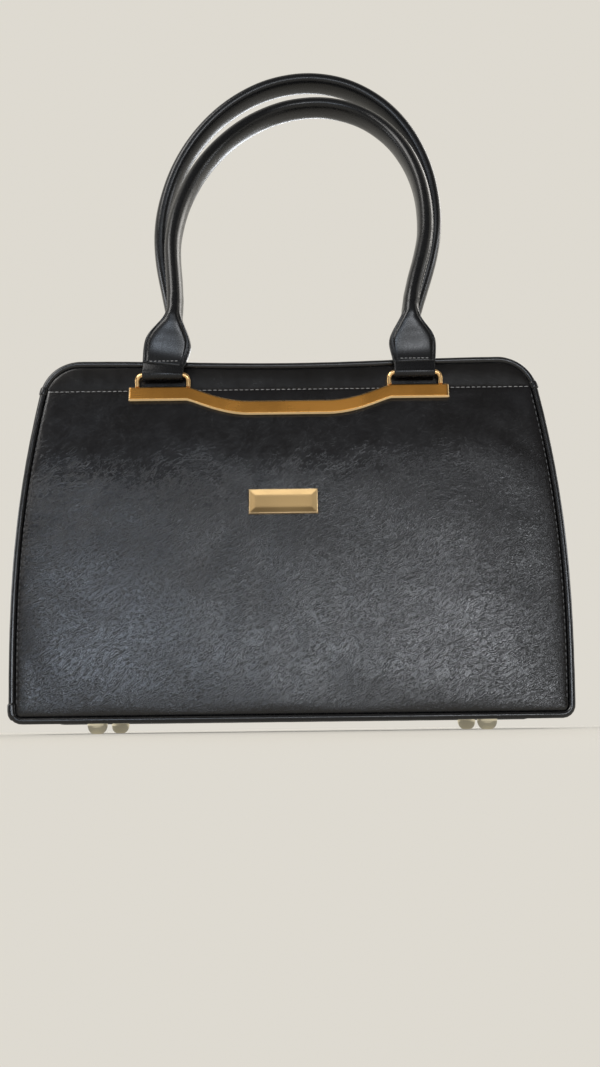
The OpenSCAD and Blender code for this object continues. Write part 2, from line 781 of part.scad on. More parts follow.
function grip_rings(spec, a, b, sides) = let (
    path = grip_path(spec),
    ring = section(a, b, grip_power_share, sides)
) [for (i = [0:len(path) - 1]) placed(ring, path[i], grip_run(spec, path, i), [0, 1, 0])];

// The leather's skin runs along its outside and back along its inside
module cover(spec) {
    rings = concat(
        grip_rings(spec, grip_w / 2, grip_d / 2, GRIP_SIDES),
        reversed(grip_rings(spec, grip_w / 2 - cover_t, grip_d / 2 - cover_t, GRIP_SIDES))
    );
    polyhedron(flat(rings), skin_faces(len(rings), GRIP_SIDES, true));
}

module core(spec) {
    core_sides = 10;
    gap = cover_t + fit;
    rings = grip_rings(spec, grip_w / 2 - gap, grip_d / 2 - gap, core_sides);
    polyhedron(flat(rings), skin_faces(len(rings), core_sides));
}

// Half width and half depth of a tab at height h above the loop's wire
widest_share = 0.48;
tab_end_h = neck_h;
function tab_half_w(h) = let (wide_h = tab_end_h * widest_share) h < wide_h
    ? strap_w / 2 + (tab_w - strap_w) / 2 * smooth(h / wide_h)
    : tab_w / 2 + (grip_w - tab_w) / 2 * smooth((h - wide_h) / (tab_end_h - wide_h));
function tab_half_d(h) = let (
    flat_d = strap_t + fit,
    start_h = tab_end_h * widest_share / 2
) flat_d + (grip_d / 2 - flat_d) * smooth((h - start_h) / (tab_end_h - start_h));
function tab_power(h) = let (t = smooth(h / tab_end_h)) 6 * (1 - t) + grip_power_share * t;

module tab(spec, side) {
    tab_sides = 16;
    hs = [for (i = [0:TAB_STEPS]) tab_start_h + (tab_end_h - tab_start_h) * i / TAB_STEPS];
    difference() {
        union() {
            polyhedron(
                flat([for (h = hs) placed(
                    section(tab_half_w(h), tab_half_d(h), tab_power(h), tab_sides),
                    leg_point(spec, side, h), leg_run(spec, side, h), [0, 1, 0])]),
                skin_faces(TAB_STEPS + 1, tab_sides)
            );
            translate([side * loop_span / 2 - strap_w / 2, 0, 0]) rotate([0, 90, 0])
                cylinder(h = strap_w, r = wrap_r);
        }
        translate([side * loop_span / 2 - strap_w, 0, 0]) rotate([0, 90, 0])
            cylinder(h = 2 * strap_w, r = bore_r);
    }
}

module on_front_loops() { translate([0, hinge_y, hinge_z]) children(); }
module on_back_loops() { mirror([0, 1, 0]) on_front_loops() children(); }

module handle_front_cover() { color("#2b2828") on_front_loops() cover(front_spec); }
module handle_front_core() { color("#c9c2b4") on_front_loops() core(front_spec); }
module handle_front_tab_left() { color("#2b2828") on_front_loops() tab(front_spec, -1); }
module handle_front_tab_right() { color("#2b2828") on_front_loops() tab(front_spec, 1); }
module handle_back_cover() { color("#2b2828") on_back_loops() cover(back_spec); }
module handle_back_core() { color("#c9c2b4") on_back_loops() core(back_spec); }
module handle_back_tab_left() { color("#2b2828") on_back_loops() tab(back_spec, -1); }
module handle_back_tab_right() { color("#2b2828") on_back_loops() tab(back_spec, 1); }

front_panel();
front_yoke();
front_padding();
front_board();
front_piping();
back_panel();
back_yoke();
back_padding();
back_board();
back_piping();
side_gusset_left();
side_gusset_right();
side_padding_left();
side_padding_right();
base_panel();
base_board();
feet();
foot_washers();
lining();
front_bar();
front_loop_left();
front_loop_right();
front_bar_rivets();
back_bar();
back_loop_left();
back_loop_right();
back_bar_rivets();
plaque();
plaque_rivets();
zip_end_left();
zip_end_right();
zip_strip_front();
zip_strip_back();
zip_tape_front();
zip_tape_back();
zip_teeth_front();
zip_teeth_back();
zip_bottom_stop();
zip_slider();
zip_pull();
handle_front_cover();
handle_front_core();
handle_front_tab_left();
handle_front_tab_right();
handle_back_cover();
handle_back_core();
handle_back_tab_left();
handle_back_tab_right();
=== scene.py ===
"""Looks of the structured top handle bag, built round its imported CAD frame.

Shapes are worked out in millimetres, in the frame of the CAD model (X across, Y back, Z up), and
become metres when a piece is made. "Up the face" runs along the leaning front or back. A side is
-1 at the front or on the left, and 1 at the back or on the right.
"""

import math
from collections import namedtuple

import bmesh
import bpy
import numpy as np
from mathutils import Matrix, Vector


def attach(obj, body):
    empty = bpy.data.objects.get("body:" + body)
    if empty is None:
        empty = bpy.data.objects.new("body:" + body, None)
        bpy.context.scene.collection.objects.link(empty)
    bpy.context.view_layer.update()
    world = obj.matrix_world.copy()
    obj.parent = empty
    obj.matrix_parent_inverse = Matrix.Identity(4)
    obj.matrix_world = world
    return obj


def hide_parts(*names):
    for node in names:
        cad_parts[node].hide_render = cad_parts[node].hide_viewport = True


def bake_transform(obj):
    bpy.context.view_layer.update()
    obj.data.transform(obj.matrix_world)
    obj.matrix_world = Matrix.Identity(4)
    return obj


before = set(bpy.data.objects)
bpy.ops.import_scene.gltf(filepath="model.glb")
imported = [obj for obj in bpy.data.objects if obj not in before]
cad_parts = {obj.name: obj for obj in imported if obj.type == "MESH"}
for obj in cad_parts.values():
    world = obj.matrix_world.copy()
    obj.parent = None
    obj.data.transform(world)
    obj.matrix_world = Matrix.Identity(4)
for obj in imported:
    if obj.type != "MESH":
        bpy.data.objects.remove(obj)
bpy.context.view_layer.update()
MM = 0.001
FACES = (("front", -1), ("back", 1))
ENDS = (("left", -1), ("right", 1))

# Sizes of the CAD model that the dressed pieces follow, in mm. BAR_BEND is a power, and
# LAST_TOOTH_SHARE a share of the slider's length.
BASE_W, BASE_D, RIM_D, SHELL_H = 330.0, 120.0, 80.0, 226.5
SIDE_TAPER, SIDE_SWELL = 8.5, 3.5
SHOULDER_R, TOE_R, RIM_DIP = 25.0, 8.0, 2.5
PIPING_R, FIT, FOOT_H = 2.0, 0.3, 6.0
PANEL_T, YOKE_T, BOARD_T, GUSSET_T, SIDE_PAD_T = 1.4, 1.4, 1.2, 1.8, 1.6
PANEL_TOP, YOKE_LAP, BASE_SEAM_H, GUSSET_IN = 208.5, 22.5, 14.0, 0.6
BAR_LEN, BAR_H, BAR_T, BAR_BEVEL, BAR_DROP = 200.5, 9.4, 3.4, 1.0, 10.0
BAR_MID_LEN, BAR_END_LEN, BAR_TOP, BAR_BEND = 48.0, 36.2, 208.3, 0.66
LOOP_SPAN, LOOP_UP, LOOP_OUT, WIRE_R = 158.0, 7.2, 3.7, 1.5
PLAQUE_W, PLAQUE_H, PLAQUE_T, PLAQUE_X, PLAQUE_UP = 43.0, 16.4, 1.8, -4.0, 133.0
STRAP_W, STRAP_T, TAB_W, NECK_H, GRIP_W, GRIP_D = 25.5, 1.3, 29.5, 42.0, 10.4, 19.4
STRIP_T, STRIP_GAP, TAPE_T, TAPE_W, ZIP_END_LEN = 1.8, 16.0, 0.8, 14.0, 7.9
TOOTH_PITCH, TOOTH_W, TOOTH_H, TOOTH_REACH, JAW_Y = 3.6, 1.3, 3.2, 1.3, 3.6
ZIP_START_IN, SLIDER_IN, SLIDER_LEN, LAST_TOOTH_SHARE = 6.0, 20.0, 14.0, 0.2
# Half width and height of a handle's shoulders, height of its crown, half the distance of its necks,
# and how far its crown leans and sways
Handle = namedtuple("Handle", "half_w shoulder_h crown_h neck_x lean sway")
HANDLES = {
    "front": Handle(83.0, 103.0, 215.0, 75.3, 56.0, 20.0),
    "back": Handle(98.0, 133.0, 245.0, 82.0, 16.0, 15.0),
}


# The body's outline, as in the CAD model


def smooth(t):
    t = np.clip(t, 0, 1)
    return t * t * (3 - 2 * t)


def half_depth(h):
    return BASE_D / 2 - h * math.tan(LEAN)


def side_x(h):
    return BASE_W / 2 + SIDE_SWELL * np.sin(math.pi * h / SIDE_H) - SIDE_TAPER * (h / SIDE_H) ** 3


def side_slope(h):
    swell = SIDE_SWELL * math.pi / SIDE_H * np.cos(math.pi * h / SIDE_H)
    return np.arctan(3 * SIDE_TAPER * h * h / SIDE_H**3 - swell)


LEAN = math.atan((BASE_D - RIM_D) / 2 / SHELL_H)
COS, SIN = math.cos(LEAN), math.sin(LEAN)
STEEPEST = math.atan((3 * SIDE_TAPER + math.pi * SIDE_SWELL) / (SHELL_H - SHOULDER_R))
SIDE_H = SHELL_H - SHOULDER_R * (1 - math.sin(STEEPEST))
TOE_SLOPE, SHOULDER_SLOPE = float(side_slope(TOE_R)), float(side_slope(SIDE_H))
TOE_TOP = TOE_R * (1 + math.sin(TOE_SLOPE))
TOE_X = float(side_x(TOE_TOP)) - TOE_R * math.cos(TOE_SLOPE)
SHOULDER_X = float(side_x(SIDE_H)) - SHOULDER_R * math.cos(SHOULDER_SLOPE)
SHOULDER_H = SIDE_H - SHOULDER_R * math.sin(SHOULDER_SLOPE)
RIM_H = SHOULDER_H + SHOULDER_R
EDGE_IN = 2 * PIPING_R + FIT / 2
PANEL_LOW = EDGE_IN / COS
WALL_T = PANEL_T + YOKE_T + BOARD_T
ZIP_HALF = SHOULDER_X - ZIP_END_LEN
STRIP_TOP = FOOT_H + SHELL_H - GUSSET_IN - GUSSET_T - FIT / 3
STRIP_EDGE_Y = half_depth(STRIP_TOP - FOOT_H) - 2 * PIPING_R - 2 * FIT
STRIP_Z = STRIP_TOP - STRIP_T
TAPE_Z = STRIP_Z - TAPE_T
TAPE_EDGE_Y = TOOTH_REACH + FIT
TOOTH_MID_Z = TAPE_Z + TAPE_T / 2
HINGE_UP = BAR_TOP + LOOP_UP
HINGE = np.array([0, -BASE_D / 2 + HINGE_UP * SIN - LOOP_OUT * COS, FOOT_H + HINGE_UP * COS + LOOP_OUT * SIN])

# Points along the sides, the rim, a lower corner and an upper corner of half an outline
SIDE_STEPS, RIM_STEPS, TOE_STEPS, CORNER_STEPS = 60, 40, 8, 24


def arc(x, h, r, start, end, steps):
    a = np.linspace(start, end, steps + 1)
    return np.column_stack([x + r * np.cos(a), h + r * np.sin(a)])


def half_outline(inset, steps=1.0):
    """Right half of the silhouette, moved in by inset, from the bottom edge up to the rim's middle."""
    hs = np.linspace(TOE_TOP, SIDE_H, int(SIDE_STEPS * steps) + 1)[1:]
    slopes = side_slope(hs)
    rim_x = SHOULDER_X * (1 - np.linspace(0, 1, int(RIM_STEPS * steps) + 1)[1:])
    return np.vstack([
        arc(TOE_X, TOE_R, TOE_R - inset, -math.pi / 2, TOE_SLOPE, TOE_STEPS),
        np.column_stack([side_x(hs) - inset * np.cos(slopes), hs - inset * np.sin(slopes)]),
        arc(SHOULDER_X, SHOULDER_H, SHOULDER_R - inset, SHOULDER_SLOPE, math.pi / 2, CORNER_STEPS)[1:],
        np.column_stack([rim_x, RIM_H - inset - RIM_DIP * np.cos(math.pi / 2 * rim_x / SHOULDER_X) ** 2]),
    ])


def edge_x(h, inset):
    """Half the width of the moved-in silhouette at height h, below the rim."""
    line = half_outline(inset)
    rising = line[: np.argmax(line[:, 1]) + 1]
    return np.interp(h, rising[:, 1], rising[:, 0])


def rim_edge(x, inset):
    """Height of the moved-in silhouette's upper edge above a place across."""
    x = np.abs(x)
    dip = RIM_H - inset - RIM_DIP * np.cos(math.pi / 2 * np.minimum(x / SHOULDER_X, 1)) ** 2
    r = SHOULDER_R - inset
    corner = SHOULDER_H + np.sqrt(np.maximum(r * r - np.maximum(x - SHOULDER_X, 0) ** 2, 0))
    return np.where(x <= SHOULDER_X, dip, corner)


def on_face(x, depth, up, side):
    """Points of the front or back face: across, depth behind the face, up the face."""
    x, depth, up = np.broadcast_arrays(x, depth, up)
    y = -BASE_D / 2 + depth * COS + up * SIN
    return np.stack([x, -side * y, FOOT_H - depth * SIN + up * COS], axis=-1)


def bar_up(x):
    """Height of the bar's middle line up the face."""
    bend_end = BAR_LEN / 2 - BAR_END_LEN
    t = np.clip((bend_end - np.abs(x)) / (bend_end - BAR_MID_LEN / 2), 0, 1)
    return BAR_TOP - BAR_H / 2 - BAR_DROP * smooth(t**BAR_BEND)


# Making pieces

CORD_SIDES = 16


def face_outward(mesh):
    """Turns the faces of closed shells outwards. An open sheet keeps the side that it was made with."""
    shell = bmesh.new()
    shell.from_mesh(mesh)
    if all(edge.is_manifold for edge in shell.edges):
        bmesh.ops.recalc_face_normals(shell, faces=shell.faces)
        shell.to_mesh(mesh)
    shell.free()


def add_object(name, data):
    obj = bpy.data.objects.new(name, data)
    bpy.context.scene.collection.objects.link(obj)
    return obj


def make_piece(name, verts, faces, material, body=None, slot=None, replaces=(), uvs=None, sharp=None):
    """A mesh object from points in mm. uvs holds one (u, v) in metres for each corner of each face."""
    mesh = bpy.data.meshes.new(name)
    mesh.from_pydata((np.asarray(verts, float).reshape(-1, 3) * MM).tolist(), [], faces)
    if uvs is not None:
        mesh.uv_layers.new(name="UVMap").data.foreach_set("uv", np.asarray(uvs, np.float32).ravel())
    mesh.validate()
    face_outward(mesh)
    mesh.shade_smooth()
    if sharp:
        mesh.set_sharp_from_angle(angle=math.radians(sharp))
    obj = add_object(name, mesh)
    mesh.materials.append(material)
    if replaces:
        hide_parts(*replaces)
    if body:
        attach(obj, body)
    return obj


def measured(points, along, across):
    """Distance from the first point of a grid along one of its directions, averaged over the other."""
    steps = np.linalg.norm(np.diff(points, axis=along), axis=2).mean(axis=across)
    return np.concatenate([[0], np.cumsum(steps)])


def skin(name, points, material, wrap_rows=False, wrap_cols=False, caps=False, flip=False, **keys):
    """A mesh over a grid of points (rows, columns, 3), with its UVs in metres along both directions."""
    p = np.asarray(points, float)
    rows, cols = p.shape[:2]
    full = p
    if wrap_rows:
        full = np.concatenate([full, full[:1]], axis=0)
    if wrap_cols:
        full = np.concatenate([full, full[:, :1]], axis=1)
    v, u = measured(full, 0, 1), measured(full, 1, 0)
    faces, uvs = [], []
    for i in range(full.shape[0] - 1):
        for j in range(full.shape[1] - 1):
            corners = [(i, j), (i, j + 1), (i + 1, j + 1), (i + 1, j)]
            if flip:
                corners.reverse()
            faces.append([(a % rows) * cols + b % cols for a, b in corners])
            uvs += [(u[b] * MM, v[a] * MM) for a, b in corners]
    if caps:
        for ring in (list(range(cols))[::-1], [(rows - 1) * cols + j for j in range(cols)]):
            ring = ring[::-1] if flip else ring
            faces.append(ring)
            uvs += [(u[k % cols] * MM, 0.0) for k in ring]
    return make_piece(name, p.reshape(-1, 3), faces, material, uvs=uvs, **keys)


def unit(v):
    return v / np.maximum(np.linalg.norm(v, axis=-1, keepdims=True), 1e-12)


def runs(path, closed=False):
    """Directions along a line at its points."""
    if closed:
        return unit(np.roll(path, -1, axis=0) - np.roll(path, 1, axis=0))
    return unit(np.gradient(path, axis=0))


def placed(rings, path, tangent, toward):
    """Sections (rows, columns, 2) set square on a path; their second axis stays near "toward"."""
    n = unit(np.cross(tangent, toward))
    b = np.cross(n, tangent)
    return path[:, None] + rings[..., :1] * n[:, None] + rings[..., 1:] * b[:, None]


def drawn_out(v, power):
    """A sine or cosine for going round a superellipse. power 2 is an ellipse, and more is squarer."""
    return np.sign(v) * np.abs(v) ** (2 / power)


def round_sections(radii):
    """A circle for each radius."""
    t = 2 * math.pi * (np.arange(CORD_SIDES) + 0.5) / CORD_SIDES
    return np.asarray(radii)[:, None, None] * np.stack([np.cos(t), np.sin(t)], axis=-1)


def resample(path, step):
    """The same line with points an even step apart."""
    s = np.concatenate([[0], np.cumsum(np.linalg.norm(np.diff(path, axis=0), axis=1))])
    at = np.linspace(0, s[-1], max(2, int(round(s[-1] / step)) + 1))
    return np.column_stack([np.interp(at, s, path[:, k]) for k in range(3)])


def tube_faces(base, rows, sides, flip=False):
    """Faces of a capped tube whose rings of points follow each other from the point number base."""
    faces = []
    for i in range(rows - 1):
        for j in range(sides):
            a, b = base + i * sides + j, base + i * sides + (j + 1) % sides
            faces.append([a, a + sides, b + sides, b] if flip else [a, b, b + sides, a + sides])
    first, last = ([base + row * sides + j for j in range(sides)] for row in (0, rows - 1))
    return faces + ([first, last[::-1]] if flip else [first[::-1], last])


# A stitch's sections: place along it as a share of its length, and girth and lift as shares of its radius
STITCH = ((-0.5, 0.35, -0.9), (-0.32, 0.9, 0.0), (0.0, 1.0, 0.35), (0.32, 0.9, 0.0), (0.5, 0.35, -0.9))
STITCH_RING = [(math.cos(a), math.sin(a)) for a in np.arange(6) * math.pi / 3]


def stitches(name, path, outward, material, pitch, length, radius, **keys):
    """A row of sewn stitches along a line: each is a little bowed capsule that dips in at both ends."""
    centre = resample(np.asarray(path, float), pitch)
    along = runs(centre)
    out = unit(np.broadcast_to(np.asarray(outward, float), centre.shape) + 0.0)
    side = unit(np.cross(along, out))
    verts, faces = [], []
    for c, t, n, s in zip(centre[:-1] + np.diff(centre, axis=0) / 2, along, out, side):
        faces += tube_faces(len(verts), len(STITCH), len(STITCH_RING))
        for at, girth, lift in STITCH:
            for x, y in STITCH_RING:
                verts.append(c + t * at * length + (s * x + n * y) * girth * radius + n * lift * radius)
    return make_piece(name, verts, faces, material, **keys)


# Materials


class Maker:
    """Short hand for a procedural material's nodes. The sizes of its patterns are in metres."""

    def __init__(self, name, color, roughness, **settings):
        self.mat = bpy.data.materials.new(name)
        self.mat.use_nodes = True
        self.tree = self.mat.node_tree
        self.shader = self.tree.nodes["Principled BSDF"]
        self.put("Base Color", (*color, 1))
        self.put("Roughness", roughness)
        for key, value in settings.items():
            self.put(key.replace("_", " ").title().replace("Ior", "IOR"), value)
        self.uv = self.node("ShaderNodeUVMap").outputs[0]
        self.height = None

    def fill(self, socket, value):
        if isinstance(value, bpy.types.NodeSocket):
            self.tree.links.new(value, socket)
        else:
            socket.default_value = value

    def put(self, socket, value):
        self.fill(self.shader.inputs[socket], value)

    def node(self, kind, inputs=None, **attributes):
        made = self.tree.nodes.new(kind)
        for key, value in attributes.items():
            setattr(made, key, value)
        for key, value in (inputs or {}).items():
            self.fill(made.inputs[key], value)
        return made

    def place(self):
        """Coordinates of the object, in metres."""
        return self.node("ShaderNodeTexCoord").outputs["Object"]

    def mapped(self, scale=(1, 1, 1), turn=0.0, source=None):
        """Coordinates in metres, turned about Z and scaled."""
        turned = self.node("ShaderNodeMapping", {0: source or self.uv, 2: (0, 0, math.radians(turn))})
        return self.node("ShaderNodeMapping", {0: turned.outputs[0], 3: scale}).outputs[0]

    def warped(self, coords, size, amount):
        """The coordinates pushed about by a soft noise."""
        noise = self.node("ShaderNodeTexNoise", {0: coords, "Scale": 1 / size, "Detail": 2})
        middle = (0.5, 0.5, 0.5)
        off = self.node("ShaderNodeVectorMath", {0: noise.outputs[1], 1: middle}, operation="SUBTRACT")
        by = self.node("ShaderNodeVectorMath", {0: off.outputs[0], "Scale": amount}, operation="SCALE")
        return self.node("ShaderNodeVectorMath", {0: coords, 1: by.outputs[0]}).outputs[0]

    def parts(self, coords):
        return self.node("ShaderNodeSeparateXYZ", {0: coords}).outputs

    def noise(self, coords, size, detail=3, rough=0.55):
        keys = {0: coords, "Scale": 1 / size, "Detail": detail, "Roughness": rough}
        return self.node("ShaderNodeTexNoise", keys).outputs[0]

    def cells(self, coords, size, feature="F1"):
        keys = {0: coords, "Scale": 1 / size, "Randomness": 1.0}
        return self.node("ShaderNodeTexVoronoi", keys, feature=feature).outputs["Distance"]

    def math(self, operation, a, b=0.0, c=0.0):
        return self.node("ShaderNodeMath", {0: a, 1: b, 2: c}, operation=operation).outputs[0]

    def ramp(self, value, low, high, to_low=0.0, to_high=1.0):
        keys = {0: value, 1: low, 2: high, 3: to_low, 4: to_high}
        return self.node("ShaderNodeMapRange", keys, interpolation_type="SMOOTHSTEP").outputs[0]

    def mix(self, factor, a, b):
        """Colours a and b mixed by a factor."""
        a, b = (v if isinstance(v, bpy.types.NodeSocket) else (*v, 1) for v in (a, b))
        return self.node("ShaderNodeMix", {0: factor, 6: a, 7: b}, data_type="RGBA").outputs[2]

    def bump(self, height, depth):
        """Adds a bump whose height of 1 stands depth metres proud."""
        keys = {"Height": height, "Distance": depth, "Strength": 1.0}
        if self.height is not None:
            keys["Normal"] = self.height
        self.height = self.node("ShaderNodeBump", keys).outputs[0]
        self.put("Normal", self.height)
        return self

    def show(self, shader):
        self.fill(self.tree.nodes["Material Output"].inputs[0], shader)


# Depths of creases, pores and woven threads, in metres, and how far creases are pushed off straight lines
CREASE_DEPTH, PORE_DEPTH, WEAVE_DEPTH, CREASE_PUSH = 0.000042, 0.000003, 0.00012, 17.0


def leather(name, color, light, roughness, grain, turn, wrinkles=1.0, pebbles=1.0, taut=None, gloss=0.5):
    """Coated leather: wavy creases that run together in one loose direction, over a net of pebbles.

    grain is a pebble's width in metres, and turn the creases' direction in degrees. taut gives the
    heights on the sheet between which the relief fades, where it is stretched.
    """
    m = Maker(name, color, roughness, specular_ior_level=gloss)
    flow = m.warped(m.mapped(), 0.05, 0.02)
    drawn = m.mapped((0.55, 1, 1), turn, flow)
    push = m.math("MULTIPLY", m.noise(drawn, grain * 1.7, 1, 0.6), CREASE_PUSH)
    wave = m.math("SINE", m.math("MULTIPLY_ADD", m.parts(drawn)[1], 2 * math.pi / (grain * 1.5), push))
    creased = m.ramp(wave, -1.0, 0.2)
    worn = m.ramp(m.noise(drawn, grain * 3, 3, 0.7), 0.38, 0.6, 0.15 * wrinkles, wrinkles)
    small = m.mapped((0.68, 1, 1), turn, m.warped(flow, grain * 1.5, grain * 0.5))
    edge = m.cells(small, grain, "DISTANCE_TO_EDGE")
    net = m.ramp(edge, 0.0, 0.2, 0.0, pebbles)
    height = m.math("MULTIPLY_ADD", net, 0.25, m.math("MULTIPLY", creased, worn))
    furrow = m.math("MULTIPLY", m.ramp(creased, 0.0, 0.9, 1.0, 0.0), worn)
    # crease_shade: the pebbles' edges and the creases' furrows. It paints shade into them by darkening the
    # base colour, and makes them a little rougher.
    crease_shade = m.math("MAXIMUM", m.ramp(edge, 0.0, 0.12, 0.4 * pebbles, 0.0), furrow)
    if taut:
        up = m.math("MULTIPLY_ADD", m.noise(m.mapped(), 0.04, 2), 0.05, m.parts(m.mapped())[1])
        loose = m.ramp(up, *taut, 1.0, 0.2)
        height, crease_shade = m.math("MULTIPLY", height, loose), m.math("MULTIPLY", crease_shade, loose)
    m.bump(height, CREASE_DEPTH).bump(m.noise(m.mapped(), 0.0003, 2, 0.7), PORE_DEPTH)
    shade = m.ramp(m.noise(m.mapped(), 0.07, 4, 0.6), 0.3, 0.7)
    toned = m.mix(m.math("MULTIPLY", shade, 0.7), color, light)
    # The base colour is the random tone, darkened by the painted shade in the furrows and round the pebbles.
    m.put("Base Color", m.mix(crease_shade, toned, [c * 0.2 for c in color]))
    rough = m.ramp(m.noise(m.mapped(), 0.011, 4, 0.65), 0.3, 0.7, roughness - 0.02, roughness + 0.03)
    m.put("Roughness", m.math("MULTIPLY_ADD", crease_shade, 0.3, rough))
    return m.mat


def metal(name, color, roughness, brushed):
    """Plated metal: faint brush lines, and soft patches that hands have made a little duller."""
    m = Maker(name, color, roughness, metallic=1.0)
    coords = m.place()
    lines = m.noise(m.mapped((0.02, 1, 1), 0.0, coords), 0.00025, 3, 0.7)
    m.bump(lines, 0.000006 * brushed + 0.0000002)
    dull = m.ramp(m.noise(coords, 0.03, 2, 0.5), 0.3, 0.7)
    both = m.math("MULTIPLY_ADD", dull, 0.7, m.math("MULTIPLY", lines, 0.3))
    m.put("Base Color", m.mix(m.math("MULTIPLY", dull, 0.3), color, [c * 0.84 for c in color]))
    m.put("Roughness", m.ramp(both, 0.1, 0.9, roughness - 0.02, roughness + 0.03))
    return m.mat


def woven(name, color, other, pitch, roughness=0.85, twill=True):
    """Woven cloth: warp and weft threads that pass over each other, or a twill's slanted ribs."""
    m = Maker(name, color, roughness, sheen_weight=0.25, sheen_roughness=0.5)
    u, v, _ = m.parts(m.warped(m.mapped(), 0.01, 0.0004))

    def wave(value):
        return m.math("SINE", m.math("MULTIPLY", value, 2 * math.pi / pitch))

    if twill:
        cloth = m.math("MULTIPLY_ADD", wave(m.math("ADD", u, v)), 0.35, 0.5)
        cloth = m.math("MULTIPLY_ADD", wave(m.math("MULTIPLY", v, 2.0)), 0.15, cloth)
    else:
        cloth = m.math("MULTIPLY_ADD", m.math("MULTIPLY", wave(u), wave(v)), 0.5, 0.5)
    fuzz = m.noise(m.mapped(), 0.0004, 3, 0.7)
    m.bump(cloth, WEAVE_DEPTH).bump(fuzz, WEAVE_DEPTH * 0.3)
    m.put("Base Color", m.mix(m.ramp(m.math("MULTIPLY_ADD", fuzz, 0.5, cloth), 0.4, 1.1), other, color))
    m.put("Roughness", m.ramp(fuzz, 0.2, 0.8, roughness - 0.08, roughness + 0.08))
    return m.mat


def thread(name, color, light):
    """Twisted sewing thread."""
    m = Maker(name, color, 0.6, sheen_weight=0.3)
    twist = m.noise(m.mapped(source=m.place()), 0.0004, 2, 0.6)
    m.bump(twist, 0.00006)
    m.put("Base Color", m.mix(twist, color, light))
    return m.mat


def pressed(name, color, other, size):
    """Foam or pressed board: a mottled, pitted surface."""
    m = Maker(name, color, 0.9)
    coords = m.place()
    flecks = m.noise(coords, size, 5, 0.75)
    m.bump(flecks, size * 0.2).bump(m.cells(coords, size * 2), size * 0.1)
    m.put("Base Color", m.mix(m.ramp(flecks, 0.35, 0.65), color, other))
    m.put("Roughness", m.ramp(flecks, 0.2, 0.8, 0.8, 0.95))
    return m.mat


PANEL_LEATHER = leather("panel_leather", (0.006, 0.0054, 0.0058), (0.0095, 0.0093, 0.0108), 0.19, 0.0008, -30,
                        taut=(0.15, 0.2))
SIDE_LEATHER = leather("side_leather", (0.006, 0.0058, 0.0063), (0.0095, 0.0095, 0.0105), 0.22, 0.0009, 60,
                       0.7)
SMOOTH_LEATHER = leather("smooth_leather", (0.0065, 0.0058, 0.0056), (0.009, 0.0082, 0.008), 0.22, 0.0009, 15,
                         0.1, 0.15)
GRIP_LEATHER = leather("grip_leather", (0.0065, 0.0066, 0.0074), (0.01, 0.0104, 0.0116), 0.26, 0.0009, 80,
                       0.12, 0.2, gloss=0.35)
PIPING_LEATHER = leather("piping_leather", (0.006, 0.006, 0.0066), (0.009, 0.009, 0.0102), 0.22, 0.0009, 75,
                         0.2, 0.3)
GOLD = metal("satin_gold", (0.58, 0.26, 0.053), 0.26, 0.04)
# A lighter gold on the bevels and on the plaque's rim: a painted highlight where their edges catch the light.
BEVEL_HIGHLIGHT_GOLD = metal("bevel_highlight_gold", (0.85, 0.62, 0.35), 0.24, 0.05)
WIRE_GOLD = metal("wire_gold", (0.75, 0.48, 0.22), 0.24, 0.1)
PLAQUE_GOLD = metal("plaque_gold", (0.33, 0.215, 0.095), 0.3, 0.12)
FOOT_METAL = metal("foot_metal", (0.9, 0.84, 0.66), 0.14, 0.05)
RIVET_METAL = metal("rivet_metal", (0.55, 0.54, 0.5), 0.35, 0.3)
ZIP_TAPE = woven("zip_tape", (0.018, 0.018, 0.02), (0.006, 0.006, 0.007), 0.0011)
LINING_CLOTH = woven("lining_cloth", (0.3, 0.27, 0.235), (0.19, 0.17, 0.148), 0.0008, 0.7, False)
# Pale thread. On the panels' top rows it paints a highlight on thread that is as dark as the side rows'; the
# straps and the lining use it too.
PALE_THREAD = thread("pale_thread", (0.22, 0.22, 0.225), (0.4, 0.4, 0.41))
DARK_THREAD = thread("dark_thread", (0.035, 0.036, 0.04), (0.08, 0.082, 0.09))
FOAM = pressed("foam", (0.42, 0.4, 0.36), (0.3, 0.28, 0.25), 0.0009)
BOARD = pressed("board", (0.36, 0.28, 0.19), (0.24, 0.18, 0.12), 0.0012)
CORE_FOAM = pressed("core_foam", (0.6, 0.57, 0.5), (0.45, 0.42, 0.37), 0.0011)


# Sewn sheets

# Places near a sheet's edge, and the stretch from the edge to the even places
EDGE_PLACES, EDGE_RUN = np.array([0.0, 0.08, 0.3, 0.7, 1.3, 2.4, 4.0, 6.5]), 9.5
SHEET_STEP, CLOTH_FRAMES, RIPPLE_TERMS = 2.6, 20, 7


def ripple(x, y, size, seed):
    """A soft unevenness between about -1 and 1, the same on every run."""
    random = np.random.default_rng(seed)
    total = 0.0
    for _ in range(RIPPLE_TERMS):
        angle, phase = random.uniform(0, 2 * math.pi, 2)
        k = 2 * math.pi / (size * random.uniform(0.7, 1.5))
        total = total + np.sin(k * (x * math.cos(angle) + y * math.sin(angle)) + phase)
    return total / math.sqrt(RIPPLE_TERMS) / 1.5


def turned_edge(distance, thickness, roll, reach):
    """How deep a sewn sheet lies at a distance from its edge, which turns in over its thickness."""
    t = np.clip(1 - distance / thickness, 0, 1)
    return thickness * (1 - np.sqrt(1 - t * t)) + roll * np.exp(-np.maximum(distance, 0) / reach)


def edged(low, high, step=SHEET_STEP):
    """Places from low to high, close together near both ends."""
    inner = np.linspace(low + EDGE_RUN, high - EDGE_RUN, max(2, int((high - low - 2 * EDGE_RUN) / step)))
    return np.concatenate([low + EDGE_PLACES, inner, (high - EDGE_PLACES)[::-1]])


